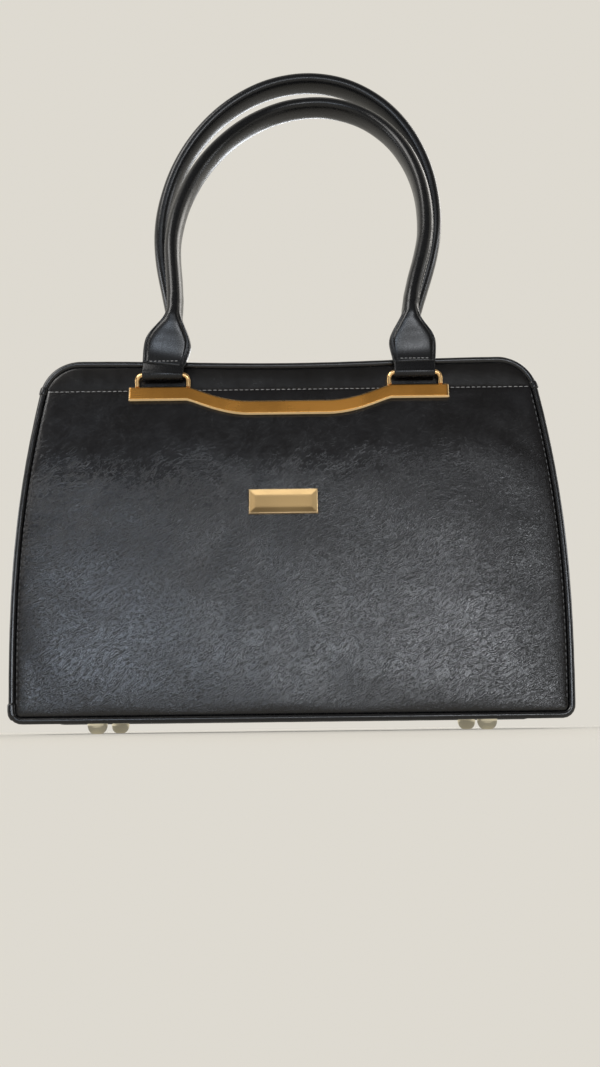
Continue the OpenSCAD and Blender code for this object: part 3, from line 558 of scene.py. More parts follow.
def swollen(points, pinned, pressure, slack):
    """Blows up a flat sewn sheet with Blender's cloth and gives each point's rise along its normal, in mm."""
    rows, cols = points.shape[:2]
    faces = []
    for first in (i * cols + j for i in range(rows - 1) for j in range(cols - 1)):
        faces.append((first, first + 1, first + cols + 1, first + cols))
    mesh = bpy.data.meshes.new("cloth")
    mesh.from_pydata((points.reshape(-1, 3) * MM).tolist(), [], faces)
    obj = add_object("cloth", mesh)
    group = obj.vertex_groups.new(name="pin")
    group.add([int(k) for k in np.flatnonzero(pinned.ravel())], 1.0, "REPLACE")
    cloth = obj.modifiers.new("Cloth", "CLOTH")
    settings = cloth.settings
    settings.quality = 6
    settings.mass = 0.4
    settings.tension_stiffness = settings.compression_stiffness = 40
    settings.shear_stiffness = 20
    settings.bending_stiffness = 2
    settings.vertex_group_mass = "pin"
    settings.use_pressure = True
    settings.uniform_pressure_force = pressure
    settings.shrink_min = -slack
    settings.effector_weights.gravity = 0
    cloth.collision_settings.use_collision = False
    cloth.point_cache.frame_start, cloth.point_cache.frame_end = 1, CLOTH_FRAMES
    for f in range(1, CLOTH_FRAMES + 1):
        bpy.context.scene.frame_set(f)
    moved = obj.evaluated_get(bpy.context.evaluated_depsgraph_get()).to_mesh()
    co = np.zeros(len(moved.vertices) * 3)
    moved.vertices.foreach_get("co", co)
    rise = co.reshape(rows, cols, 3) / MM - points
    normal = np.cross(points[0, -1] - points[0, 0], points[-1, 0] - points[0, 0])
    bpy.data.objects.remove(obj)
    bpy.context.scene.frame_set(1)
    return rise @ unit(normal)


def sampled(field, rows, cols):
    """A field on an even grid, read at places given as shares of its height and width."""
    i = np.clip(rows, 0, 1) * (field.shape[0] - 1)
    j = np.clip(cols, 0, 1) * (field.shape[1] - 1)
    i0, j0 = np.minimum(i.astype(int), field.shape[0] - 2), np.minimum(j.astype(int), field.shape[1] - 2)
    fi, fj = i - i0, j - j0
    low = field[i0, j0] * (1 - fj) + field[i0, j0 + 1] * fj
    high = field[i0 + 1, j0] * (1 - fj) + field[i0 + 1, j0 + 1] * fj
    return low * (1 - fi) + high * fi


# Front and back

# Swell of a panel and of its padding, and how far round the bar and the plaque they are held down
PANEL_CROWN, PAD_CROWN, HELD_ROUND = 1.5, 1.1, 2.0
PANEL_ROWS, PANEL_COLS, PANEL_PRESSURE, PANEL_SLACK, CLOTH_SHARE = 46, 65, 3.0, 0.004, 0.55
# How far a yoke's edge lies tucked under the piping, and its swell
YOKE_TUCK, YOKE_PUFF = 1.1, 0.12
# Distance of the stitches from a panel's edges, and their pitch, length and radius
TOP_SEAM_IN, SIDE_SEAM_IN = 2.0, 1.1
TOP_STITCH, SIDE_STITCH = (3.3, 2.4, 0.24), (4.0, 3.0, 0.3)
# Collars of the piping: height, side, and half length in steps of COLLAR_STEP
COLLARS = ((PANEL_TOP * COS - 1.5, -1, 5), (PANEL_TOP * COS - 1.5, 1, 5), (TOE_TOP + 1, -1, 9))
COLLAR_FIT, COLLAR_PROUD, PIPING_STEP, COLLAR_STEP = 0.1, 0.55, 2.0, 0.5


def panel_swell(with_plaque):
    """Swell of a panel over its padding, from 0 to 1, held down by its seams, its bar and its plaque."""
    shares_up, shares_across = np.linspace(0, 1, PANEL_ROWS), np.linspace(-1, 1, PANEL_COLS)
    up = (PANEL_LOW + shares_up * (PANEL_TOP - PANEL_LOW))[:, None] + 0 * shares_across
    x = shares_across * edge_x(up * COS, EDGE_IN)
    held = (np.abs(shares_across) > 0.995) | (shares_up[:, None] < 0.01) | (shares_up[:, None] > 0.99)
    held |= (np.abs(x) < BAR_LEN / 2) & (up > bar_up(x) - BAR_H / 2 - HELD_ROUND)
    if with_plaque:
        beside = np.abs(x - PLAQUE_X) < PLAQUE_W / 2 + HELD_ROUND
        held |= beside & (np.abs(up - PLAQUE_UP) < PLAQUE_H / 2 + HELD_ROUND)
    even = (1 - shares_across**4) * np.sin(math.pi * np.sqrt(shares_up[:, None]))
    field = swollen(np.stack([x, 0 * x, up], axis=-1), held, PANEL_PRESSURE, PANEL_SLACK)
    field = field * np.sign(field[PANEL_ROWS // 3, PANEL_COLS // 2])
    return CLOTH_SHARE * np.clip(field / np.percentile(field, 99.5), -0.1, 1.1) + (1 - CLOTH_SHARE) * even


def face_panel(name, side, field, crown, material, top, depth, thickness, step=SHEET_STEP, **keys):
    """A panel or its padding: a sheet from the bottom edge up to top, which swells outwards by crown."""
    ups = edged(PANEL_LOW, top, step)[:, None]
    half = edge_x(ups * COS, EDGE_IN)
    x = edged(-half.max(), half.max(), step) * half / half.max()
    inside = np.minimum(np.minimum(half - np.abs(x), ups - PANEL_LOW), top - ups)
    lie = depth + turned_edge(inside, thickness, 0.55, 2.2)
    share_up = (ups - PANEL_LOW) / (PANEL_TOP - PANEL_LOW) + 0 * x
    rise = sampled(field, share_up, (x / half + 1) / 2)
    hollow = ripple(x, ups + 0 * x, 70, 3) * 0.22 * smooth(rise * 3)
    lie = lie - crown * rise - hollow
    return skin(name, on_face(x, lie, ups, side), material, flip=side > 0, body="bag", **keys)


def face_yoke(name, side):
    """The smooth band under the rim. It runs down behind the panel."""
    low = PANEL_TOP - YOKE_LAP / 2
    inset = EDGE_IN - YOKE_TUCK
    reach = SHOULDER_X + (SHOULDER_R - inset) * math.cos(SHOULDER_SLOPE)
    x = edged(-reach, reach)[None, :]
    tops = rim_edge(x, inset) / COS
    near_rim = 1 - (EDGE_PLACES / (4 * EDGE_PLACES[-1]))[::-1]
    shares = np.concatenate([np.linspace(0, 0.75, 16)[:-1], near_rim])[:, None]
    up = low + shares * (tops - low)
    inside = np.minimum(tops - up, (reach - np.abs(x)) + 0 * up)
    shown = np.clip((up - PANEL_TOP) / (tops - PANEL_TOP), 0, 1)
    puff = YOKE_PUFF * np.sin(math.pi * shown) * smooth(inside / 8)
    lie = YOKE_T + turned_edge(inside, YOKE_T, 0.5, 2.0) - puff - YOKE_PUFF * ripple(x, up, 45, 5)
    skin(name + "_leather", on_face(x, lie, up, side), SMOOTH_LEATHER, flip=side > 0, body="bag",
         slot="smooth_leather", replaces=[name])


def piping(name, side):
    """Leather cord sewn round the outline, with the collars that its ends and the panel's edge make."""
    half = half_outline(PIPING_R)
    line = np.vstack([half, half[::-1][1:] * (-1, 1)])
    path = np.column_stack([line[:, 0], PIPING_R / COS - half_depth(line[:, 1]), FOOT_H + line[:, 1]])
    path = resample(np.vstack([path, path[:1]]), PIPING_STEP)[:-1] * (1, -side, 1)
    s = np.arange(len(path)) * PIPING_STEP
    girth = PIPING_R * (1 + 0.012 * np.sin(s / 3.1) * np.sin(s / 17.0) + 0.012 * ripple(s, 0 * s, 9, 11))
    toward = np.array([0, -side * COS, -SIN])
    keys = {"body": "bag", "slot": "piping_leather"}
    skin(name + "_cord", placed(round_sections(girth), path, runs(path, True), toward), PIPING_LEATHER,
         wrap_rows=True, wrap_cols=True, flip=side > 0, replaces=[name], **keys)
    for k, (h, across, reach) in enumerate(COLLARS):
        near = np.argmin(np.abs(path[:, 2] - FOOT_H - h) + BASE_W * (np.sign(path[:, 0]) != across))
        piece = resample(path[near - 5:near + 6], COLLAR_STEP)
        mid = len(piece) // 2
        piece = piece[mid - reach:mid + reach + 1]
        t = np.linspace(-1, 1, len(piece))
        girth = PIPING_R + COLLAR_FIT + COLLAR_PROUD * np.sqrt(1 - np.abs(t) ** 6)
        skin(f"{name}_collar_{k}", placed(round_sections(girth), piece, runs(piece), toward), PIPING_LEATHER,
             wrap_cols=True, caps=True, **keys)


swells = [panel_swell(True), panel_swell(False)]
for (word, side), field in zip(FACES, swells):
    face_panel(word + "_panel_leather", side, field, PANEL_CROWN, PANEL_LEATHER, PANEL_TOP, 0.0, PANEL_T,
               slot="panel_leather", replaces=[word + "_panel"])
    pad = face_panel(word + "_pad", side, field, PAD_CROWN, FOAM, PANEL_TOP - YOKE_LAP, PANEL_T, YOKE_T, 6.0,
                     slot="padding", replaces=[word + "_padding"])
    face_yoke(word + "_yoke", side)
    piping(word + "_piping", side)
    out = np.array([0, side * COS, SIN])
    x = np.linspace(-1, 1, 200) * (edge_x((PANEL_TOP - TOP_SEAM_IN) * COS, EDGE_IN) - 1.5)
    # The top row is in pale thread, a painted highlight along the panel's top edge.
    stitches(word + "_panel_stitches", on_face(x, -0.05, PANEL_TOP - TOP_SEAM_IN, side), out, PALE_THREAD,
             *TOP_STITCH, body="bag", slot="panel_leather")
    line = half_outline(EDGE_IN + SIDE_SEAM_IN)
    line = line[(line[:, 1] > TOE_R) & (line[:, 1] < PANEL_TOP * COS - 3)]
    for end, across in ENDS:
        row = on_face(across * line[:, 0], 0.42, line[:, 1] / COS, side)
        stitches(f"{word}_side_stitches_{end}", row, out, DARK_THREAD, *SIDE_STITCH, body="bag",
                 slot="panel_leather")


# Sides and base

# A sheet's step along the silhouette, its step in depth, and half the depth that this step is for
SIDE_GRID, BASE_GRID = (2.4, 2.6, 50.0), (3.0, 3.0, 55.0)
GUSSET_SAG, SIDE_PAD_SAG, BASE_SAG = 2.3, 0.9, 0.12
GUSSET_LEN, GUSSET_W, GUSSET_ROWS, GUSSET_COLS = 250.0, 90.0, 64, 24
GUSSET_STITCH, BASE_STITCH, BASE_STITCH_IN = (4.0, 3.0, 0.28), (3.6, 2.6, 0.28), 2.2


def wrapped_sheet(name, line, inward_sign, grid, edge, material, thickness, sag, side=1, **keys):
    """A sheet between the faces that follows a line of the silhouette, given as places across and heights.

    sag gives how deep it sinks below its turned edges, from the share of the line and the depth, the
    places across and back, and the distance from the nearest edge.
    """
    step, depth_step, span = grid
    path = resample(np.column_stack([line, 0 * line[:, 0]]), step)
    length = np.linalg.norm(np.diff(path, axis=0), axis=1).sum()
    s = edged(0, length, step)[:, None]
    at = np.linspace(0, length, len(path))
    x, h = np.interp(s, at, path[:, 0]), np.interp(s, at, path[:, 1])
    run = runs(np.hstack([x, h]))
    inward = inward_sign * np.column_stack([-run[:, 1], run[:, 0]])
    half = half_depth(h) - edge / COS
    columns = edged(-span, span, depth_step) / span
    y = columns * half
    inside = np.minimum(np.minimum(half - np.abs(y), s), length - s)
    sunk = turned_edge(inside, thickness, 0.3, 2.0)
    sunk = sunk + sag(s / length + 0 * y, (columns + 1) / 2 + 0 * y, x + 0 * y, y, inside)
    points = np.stack([side * (x + inward[:, :1] * sunk), y, FOOT_H + h + inward[:, 1:] * sunk], axis=-1)
    skin(name, points, material, body="bag", **keys)
    return x[:, 0], h[:, 0], inward, half[:, 0]


def side_line(inset, start_h, end_x):
    """The silhouette from the height start_h up to the place end_x of the rim."""
    line = half_outline(inset, 1.6)
    first = np.argmax(line[:, 1] >= start_h)
    last = np.argmax((line[:, 0] < end_x) & (line[:, 1] > SHOULDER_H))
    start_x = np.interp(start_h, line[first - 1:first + 1, 1], line[first - 1:first + 1, 0])
    return np.vstack([[start_x, start_h], line[first:last], [end_x, line[last, 1]]])


def base_line(inset):
    """The silhouette below the base panel's seams, from right to left under the bag."""
    line = half_outline(inset)
    low = line[line[:, 1] < BASE_SEAM_H]
    end = [[float(np.interp(BASE_SEAM_H, line[:200, 1], line[:200, 0])), BASE_SEAM_H]]
    right = np.vstack([low, end])
    return np.vstack([right[::-1], right * (-1, 1)])


def gusset_slack():
    """Slack of a side gusset between its seams, from 0 to 1 inwards, with the soft folds of a long panel."""
    edge = GUSSET_W / 2
    s, y = np.meshgrid(np.linspace(0, GUSSET_LEN, GUSSET_ROWS), np.linspace(-edge, edge, GUSSET_COLS),
                       indexing="ij")
    held = (s < 1) | (s > GUSSET_LEN - 1) | (np.abs(y) > edge - 1)
    across = np.cos(math.pi * y / GUSSET_W)
    wave = 0.8 * ripple(s, y, 55, 21) * across
    field = swollen(np.stack([y, wave, s], axis=-1), held, 2.0, 0.012) + wave
    field = field * np.sign(field[GUSSET_ROWS // 2, GUSSET_COLS // 2])
    return np.clip(field / np.percentile(field, 99), -0.25, 1.1)


slack = gusset_slack()
for word, side in ENDS:
    keys = {"side": side, "flip": side < 0}
    x, h, inward, half = wrapped_sheet(
        f"side_gusset_{word}_leather", side_line(GUSSET_IN, BASE_SEAM_H - 0.4, ZIP_HALF + 2), 1, SIDE_GRID,
        EDGE_IN, SIDE_LEATHER, GUSSET_T, lambda along, deep, *_: GUSSET_SAG * sampled(slack, along, deep),
        slot="side_leather", replaces=[f"side_gusset_{word}"], **keys)
    wrapped_sheet(
        f"side_pad_{word}", side_line(GUSSET_IN + GUSSET_T + 0.1, BASE_SEAM_H + 2, SHOULDER_X + 8), 1,
        SIDE_GRID, EDGE_IN + 2, FOAM, SIDE_PAD_T,
        lambda along, deep, *_: SIDE_PAD_SAG * sampled(slack, along, deep),
        slot="padding", replaces=[f"side_padding_{word}"], **keys)
    keep = (h > BASE_SEAM_H + 4) & (h < SHOULDER_H)
    out = np.column_stack([-side * inward[:, 0], 0 * h, -inward[:, 1]])[keep]
    for face_word, face in FACES:
        row = np.column_stack([side * (x + 0.45 * inward[:, 0]), face * (half - 1.6),
                               FOOT_H + h + 0.45 * inward[:, 1]])
        stitches(f"side_{word}_seam_{face_word}", row[keep], out[len(out) // 2], DARK_THREAD, *GUSSET_STITCH,
                 body="bag", slot="side_leather")

wrapped_sheet(
    "base_leather", base_line(GUSSET_IN), -1, BASE_GRID, EDGE_IN, SIDE_LEATHER, GUSSET_T,
    lambda along, deep, x, y, inside: BASE_SAG * (1 + ripple(x, y, 60, 8)) * smooth(inside / 12),
    slot="side_leather", replaces=["base_panel"], flip=True)
for word, side in ENDS:
    x = side * float(edge_x(BASE_SEAM_H - BASE_STITCH_IN, GUSSET_IN))
    wide = half_depth(BASE_SEAM_H) - EDGE_IN - 4
    row = np.array([[x, y, FOOT_H + BASE_SEAM_H - BASE_STITCH_IN] for y in (-wide, wide)])
    stitches("base_seam_" + word, row, (side, 0, 0), DARK_THREAD, *BASE_STITCH, body="bag",
             slot="side_leather")


# Zip

ZIP_STITCH, ZIP_STITCH_IN, ZIP_STEPS = (3.2, 2.3, 0.26), 2.2, 48
# On the left, this stretch from the end stays closed and covers the slider when the zip is open. Nothing
# below reads it.
CLOSED_LEN = 38.0
# A tape's section: places out from the zip's middle, and heights of its upper, then its lower side
TAPE_PLACES = np.array([TAPE_EDGE_Y, TAPE_EDGE_Y + 0.2, 3, 5, 8, 11, TAPE_W - 0.2, TAPE_W])
TAPE_HEIGHTS = np.array([0.4, 0.62, 0.7, 0.62, 0.62, 0.62, 0.62, 0.4, 0.4, 0, -0.08, 0, 0, 0, 0, 0.4])
# A tooth's outline: a jaw on the tape and a rounded nose that reaches past the middle
TOOTH_TOP = TOOTH_H / 2
NOSE = [[-0.2, TOOTH_TOP], [0.5, TOOTH_TOP * 0.8], [1.2, TOOTH_TOP / 2]]
JAW = [[-3.2, TOOTH_TOP], [-JAW_Y, TOOTH_TOP - 0.4]]
TOOTH = np.array([[a, -b] for a, b in (JAW[::-1] + NOSE)] + [[TOOTH_REACH, 0]] + NOSE[::-1] + JAW)
TOOTH_BEVEL, TOOTH_END_SHARE, TOOTH_CENTRE = 0.2, 0.86, -1.2


def strip_wave(xs, sign):
    """How far a strip rises and falls along the zip, in mm."""
    return 0.1 * np.sin(xs / 21.0 + sign)


def strip(name, xs, sign, **keys):
    """A leather strip beside the zip, with turned edges."""
    half = (STRIP_EDGE_Y - STRIP_GAP / 2) / 2
    y = np.concatenate([edged(-half, half, 2.0), edged(-half, half, 2.0)[::-1]])
    edge = np.minimum(half - np.abs(y), 8)
    lift = STRIP_T / 2 - turned_edge(edge, STRIP_T / 2, 0.16, 1.6)
    z = np.where(np.arange(len(y)) < len(y) // 2, lift + 0.25 * smooth(edge / 6), -lift)
    wave = strip_wave(xs, sign)[:, None] * smooth((ZIP_HALF - np.abs(xs)) / 30)[:, None]
    middle = (STRIP_GAP / 2 + STRIP_EDGE_Y) / 2
    points = np.stack([xs[:, None] + 0 * y, sign * (middle + y) + 0 * xs[:, None],
                       STRIP_Z + STRIP_T / 2 + z + wave], axis=-1)
    return skin(name, points, SMOOTH_LEATHER, slot="smooth_leather", **keys)


def tape(name, xs, sign, **keys):
    """A woven tape, with a low rib on its upper side and one on its lower side."""
    y = np.concatenate([TAPE_PLACES, TAPE_PLACES[::-1]])
    z = TAPE_Z + TAPE_HEIGHTS
    points = np.stack([xs[:, None] + 0 * y, sign * y + 0 * xs[:, None], z + 0 * xs[:, None]], axis=-1)
    return skin(name, points, ZIP_TAPE, slot="zip_tape", **keys)


def teeth(name, sign, side, **keys):
    """Cast teeth of one row, on one half of the zip. The two rows are half a pitch apart."""
    first = ZIP_START_IN - ZIP_HALF + (0 if sign < 0 else TOOTH_PITCH / 2)
    last = ZIP_HALF - SLIDER_IN + SLIDER_LEN * LAST_TOOTH_SHARE
    places = [x for x in np.arange(first, last, TOOTH_PITCH) if x * side > 0 or (x == 0 and side > 0)]
    sections = ((0, TOOTH_END_SHARE), (TOOTH_BEVEL, 1.0), (TOOTH_W - TOOTH_BEVEL, 1.0),
                (TOOTH_W, TOOTH_END_SHARE))
    verts, faces = [], []
    for x in places:
        faces += tube_faces(len(verts), len(sections), len(TOOTH), flip=sign > 0)
        for at, size in sections:
            for a, b in TOOTH:
                y = -sign * (TOOTH_CENTRE + (a - TOOTH_CENTRE) * size)
                verts.append((x + at, y, TOOTH_MID_Z + b * size))
    return make_piece(name, verts, faces, WIRE_GOLD, slot="teeth_metal", sharp=35, **keys)


def flap_pieces(face, sign, word, side):
    """The pieces on one half of a flap of the zip."""
    xs = side * np.linspace(0, ZIP_HALF, ZIP_STEPS)
    keys = {"wrap_cols": True, "caps": True, "flip": side * sign > 0, "sharp": 60}
    yield strip(f"zip_strip_{face}_{word}_leather", xs, sign, replaces=["zip_strip_" + face], **keys)
    for k, at in enumerate((STRIP_GAP / 2 + ZIP_STITCH_IN, STRIP_EDGE_Y - ZIP_STITCH_IN)):
        row = np.column_stack([xs, 0 * xs + sign * at, STRIP_TOP - 0.02 + strip_wave(xs, sign)])[:-1]
        yield stitches(f"zip_strip_{face}_{word}_stitches_{k}", row, (0, 0, 1), DARK_THREAD, *ZIP_STITCH,
                       slot="smooth_leather")
    yield tape(f"zip_tape_{face}_{word}_weave", xs, sign, replaces=["zip_tape_" + face], **keys)
    yield teeth(f"zip_teeth_{face}_{word}_cast", sign, side, replaces=["zip_teeth_" + face])


# Each half of each flap, with its placement baked into its mesh
for (word, side), closed in zip(ENDS, (CLOSED_LEN, 0.0)):
    for face, sign in FACES:
        for piece in flap_pieces(face, sign, word, side):
            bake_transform(piece)


def zip_end(word, side):
    """The fixed patch of leather past the end of the moving strips."""
    x0, x1 = sorted((side * (ZIP_HALF + FIT), side * SHOULDER_X))
    y, x = edged(-STRIP_EDGE_Y, STRIP_EDGE_Y, 3.0)[:, None], np.linspace(x0, x1, 9)[None, :]
    inside = np.minimum(np.minimum(y + STRIP_EDGE_Y, STRIP_EDGE_Y - y), np.minimum(x - x0, x1 - x))
    z = STRIP_TOP + 0.1 - turned_edge(inside, 1.2, 0.2, 1.5) + 0.3 * smooth(inside / 4)
    skin(f"zip_end_{word}_leather", np.stack([x + 0 * y, y + 0 * x, z], axis=-1), SMOOTH_LEATHER, body="bag",
         slot="smooth_leather", replaces=["zip_end_" + word])
    row = [[side * (ZIP_HALF + ZIP_STITCH_IN), y, STRIP_TOP] for y in (-STRIP_EDGE_Y + 3, STRIP_EDGE_Y - 3)]
    stitches(f"zip_end_{word}_stitches", row, (0, 0, 1), DARK_THREAD, *ZIP_STITCH, body="bag",
             slot="smooth_leather")


def softened(node, width, body):
    """A copy of a CAD node in gold, with its sharp edges rounded a little, which stands for the node."""
    obj = add_object(node + "_cast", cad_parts[node].data.copy())
    mesh = bmesh.new()
    mesh.from_mesh(obj.data)
    bmesh.ops.remove_doubles(mesh, verts=mesh.verts, dist=1e-6)
    bmesh.ops.dissolve_limit(mesh, angle_limit=math.radians(1), verts=mesh.verts, edges=mesh.edges)
    mesh.to_mesh(obj.data)
    mesh.free()
    edge = obj.modifiers.new("edge", "BEVEL")
    edge.width = width * MM
    edge.segments = 2
    edge.limit_method = "ANGLE"
    edge.angle_limit = math.radians(35)
    baked = bpy.data.meshes.new_from_object(obj.evaluated_get(bpy.context.evaluated_depsgraph_get()))
    obj.modifiers.clear()
    obj.data = baked
    baked.materials.clear()
    baked.materials.append(WIRE_GOLD)
    baked.shade_smooth()
    baked.set_sharp_from_angle(angle=math.radians(40))
    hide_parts(node)
    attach(obj, body)


for word, side in ENDS:
    zip_end(word, side)
softened("zip_slider", 0.3, "slider")
softened("zip_pull", 0.25, "pull")
softened("zip_bottom_stop", 0.2, "bag")


# Metal fittings

BAR_STEPS, BAR_EDGE_R, BAR_END_STEPS = 161, 0.12, (0.3, 0.9)
# Rim of the plaque, from the panel outwards: inset and height over the panel
RIM = ((0.0, 0.0), (0.0, 0.35), (0.12, 0.6), (0.6, PLAQUE_T - 0.1), (0.7, PLAQUE_T), (0.95, PLAQUE_T))
FACET_OUTER, FACET_INNER, FACET_FALL, PLAQUE_CORNER_R = 1.0, 4.2, 0.3, 0.9


def rounded(points, radius, steps=3):
    """A closed outline with its corners rounded."""
    p = np.asarray(points, float)
    made = []
    for i in range(len(p)):
        a, b = unit(p[i - 1] - p[i]), unit(p[(i + 1) % len(p)] - p[i])
        half = math.acos(float(np.clip(a @ b, -1, 1))) / 2
        reach = radius / math.tan(half)
        centre = p[i] + unit(a + b) * radius / math.sin(half)
        start, end = p[i] + a * reach - centre, p[i] + b * reach - centre
        for t in np.linspace(0, 1, steps + 1):
            made.append(centre + unit(start * (1 - t) + end * t) * radius)
    return np.array(made)


def supported(ring, corners):
    """Adds a point close to both ends of each side between rounded corners, so that it is shaded flat."""
    per, gap = len(ring) // corners, 0.08
    made = []
    for k in range(corners):
        corner, after = ring[k * per:(k + 1) * per], ring[(k + 1) * per % len(ring)]
        made += [*corner, corner[-1] * (1 - gap) + after * gap, corner[-1] * gap + after * (1 - gap)]
    return np.array(made)


def bar(name, side):
    """The curved band with its bevelled front edge. The bevel runs round its ends too."""
    end_x = BAR_LEN / 2
    even = np.linspace(-end_x, end_x, BAR_STEPS)
    tip = np.array([0, *BAR_END_STEPS])
    xs = np.concatenate([tip - end_x, even[1:-1], (end_x - tip)[::-1]])
    rings = []
    for x in xs:
        end = max(0.0, 1 - (end_x - abs(x)) / BAR_BEVEL)
        t = BAR_T - end * BAR_BEVEL * 0.9
        h = BAR_H / 2 - end * 0.35
        bevel = BAR_BEVEL * (1 - 0.6 * end)
        corners = [[0, -h], [0, h], [bevel - t, h], [-t, h - bevel], [-t, bevel - h], [bevel - t, -h]]
        ring = supported(rounded(corners, BAR_EDGE_R), len(corners))
        rings.append(np.column_stack([ring[:, 0], ring[:, 1] + bar_up(x)]))
    rings = np.array(rings)
    points = on_face(xs[:, None] + 0 * rings[..., 0], rings[..., 0], rings[..., 1], side)
    obj = skin(name + "_band", points, GOLD, wrap_cols=True, caps=True, flip=side < 0, body="bag",
               slot="gold_metal", replaces=[name], sharp=50)
    # Faces that don't look straight out, the bevels among them, take the lighter gold: a painted highlight
    # along the bar's edges.
    obj.data.materials.append(BEVEL_HIGHLIGHT_GOLD)
    normals = np.zeros(len(obj.data.polygons) * 3)
    obj.data.polygons.foreach_get("normal", normals)
    out = normals.reshape(-1, 3) @ np.array([0, side * COS, SIN])
    obj.data.polygons.foreach_set("material_index", (out < 0.93).astype(np.int32))


def plate():
    """The bare plaque: a narrow rim with a painted highlight, four facets that fall inwards and a flat field
    between them.
    """
    levels = [(inset, -height) for inset, height in RIM]
    for share in (0.03, 0.5, 0.97):
        levels.append((FACET_OUTER + share * (FACET_INNER - FACET_OUTER), share * FACET_FALL - PLAQUE_T))
    for inset in np.linspace(FACET_INNER + 0.1, PLAQUE_H / 2 - 0.15, 4):
        levels.append((inset, FACET_FALL - PLAQUE_T))
    rings = []
    for inset, depth in levels:
        w, h = PLAQUE_W / 2 - inset, PLAQUE_H / 2 - inset
        corner_r = min(max(PLAQUE_CORNER_R - inset * 0.35, 0.15), h * 0.9)
        ring = rounded([[w, -h], [w, h], [-w, h], [-w, -h]], corner_r, 4)
        rings.append(np.column_stack([ring[:, 0], 0 * ring[:, 0] + depth, ring[:, 1]]))
    rings = np.array(rings)
    points = on_face(rings[..., 0] + PLAQUE_X, rings[..., 1], rings[..., 2] + PLAQUE_UP, -1)
    obj = skin("plaque_plate", points, PLAQUE_GOLD, wrap_cols=True, caps=True, body="bag",
               slot="gold_metal", replaces=["plaque"], sharp=25)
    # The rim's faces take the lighter gold, a painted highlight.
    obj.data.materials.append(BEVEL_HIGHLIGHT_GOLD)
    for face in obj.data.polygons[:rings.shape[1] * (len(RIM) - 1)]:
        face.material_index = 1


def dress(material, *nodes):
    """Gives CAD nodes that stay in view their material."""
    for node in nodes:
        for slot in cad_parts[node].material_slots:
            slot.material = material


bar("front_bar", -1)
bar("back_bar", 1)
plate()
dress(WIRE_GOLD, "front_loop_left", "front_loop_right", "back_loop_left", "back_loop_right")
dress(FOOT_METAL, "feet")
dress(RIVET_METAL, "front_bar_rivets", "back_bar_rivets", "plaque_rivets", "foot_washers")
dress(BOARD, "front_board", "back_board", "base_board")
dress(CORE_FOAM, "handle_front_core", "handle_back_core")


# Handles. Their heights are measured from the loops' wire.

LEAN_START, LEAN_POWER, SWAY_POWER = 2 * (WIRE_R + FIT + STRAP_T), 1.3, 1.25
TAB_START, TAB_WIDE_H, TAB_HALF_D, NECK_RUN = 6.4, NECK_H * 0.48, STRAP_T + 0.75, 12.0
TAB_POWER, GRIP_POWER, GRIP_SIDES = 4.4, 2.4, 60
# Where the leather's edges meet round the section, and where its stitches lie
SEAM_TURN, STITCH_TURN = math.radians(180 + 38), math.radians(180 + 38) - 0.3
# Height of a strap's ends, half the gap between them, and the stretch over which it opens round the wire
STRAP_END_H, STRAP_HALF_GAP, STRAP_RUN = 8.4, 0.78, 7.4
STRAP_TURNS, STRAP_STITCH_H = (158, 382), 8.6
GRIP_STITCH, STRAP_STITCH = (3.0, 2.1, 0.22), (2.7, 2.0, 0.22)


def leg_x(spec, h):
    low, high = smooth(h / NECK_H), smooth((h - NECK_H) / (spec.shoulder_h - NECK_H))
    return np.where(h < NECK_H, LOOP_SPAN / 2 + (spec.neck_x - LOOP_SPAN / 2) * low,
                    spec.neck_x + (spec.half_w - spec.neck_x) * high)


def sway(spec, h):
    return spec.sway * (np.maximum(h, 0) / spec.crown_h) ** SWAY_POWER


def lean_in(spec, h):
    return spec.lean * (np.maximum(h - LEAN_START, 0) / (spec.crown_h - LEAN_START)) ** LEAN_POWER


def leg(spec, across, h):
    """Points of a leg's middle line at heights h."""
    return np.stack([across * leg_x(spec, h) + sway(spec, h), lean_in(spec, h), h], axis=-1)


def handle_path(spec):
    """Middle line from the right tab over the crown to the left tab, with each point's height on its leg."""
    legs = np.concatenate([np.arange(TAB_START, NECK_H + NECK_RUN, 1.1),
                           np.linspace(NECK_H + NECK_RUN, spec.shoulder_h, 28)[1:]])
    t = np.linspace(0, math.pi, 112)[1:-1]
    h = spec.shoulder_h + (spec.crown_h - spec.shoulder_h) * np.sin(t)
    crown = np.column_stack([spec.half_w * np.cos(t) + sway(spec, h), lean_in(spec, h), h])
    path = np.vstack([leg(spec, 1, legs), crown, leg(spec, -1, legs)[::-1]])
    return path, np.concatenate([legs, h, legs[::-1]])


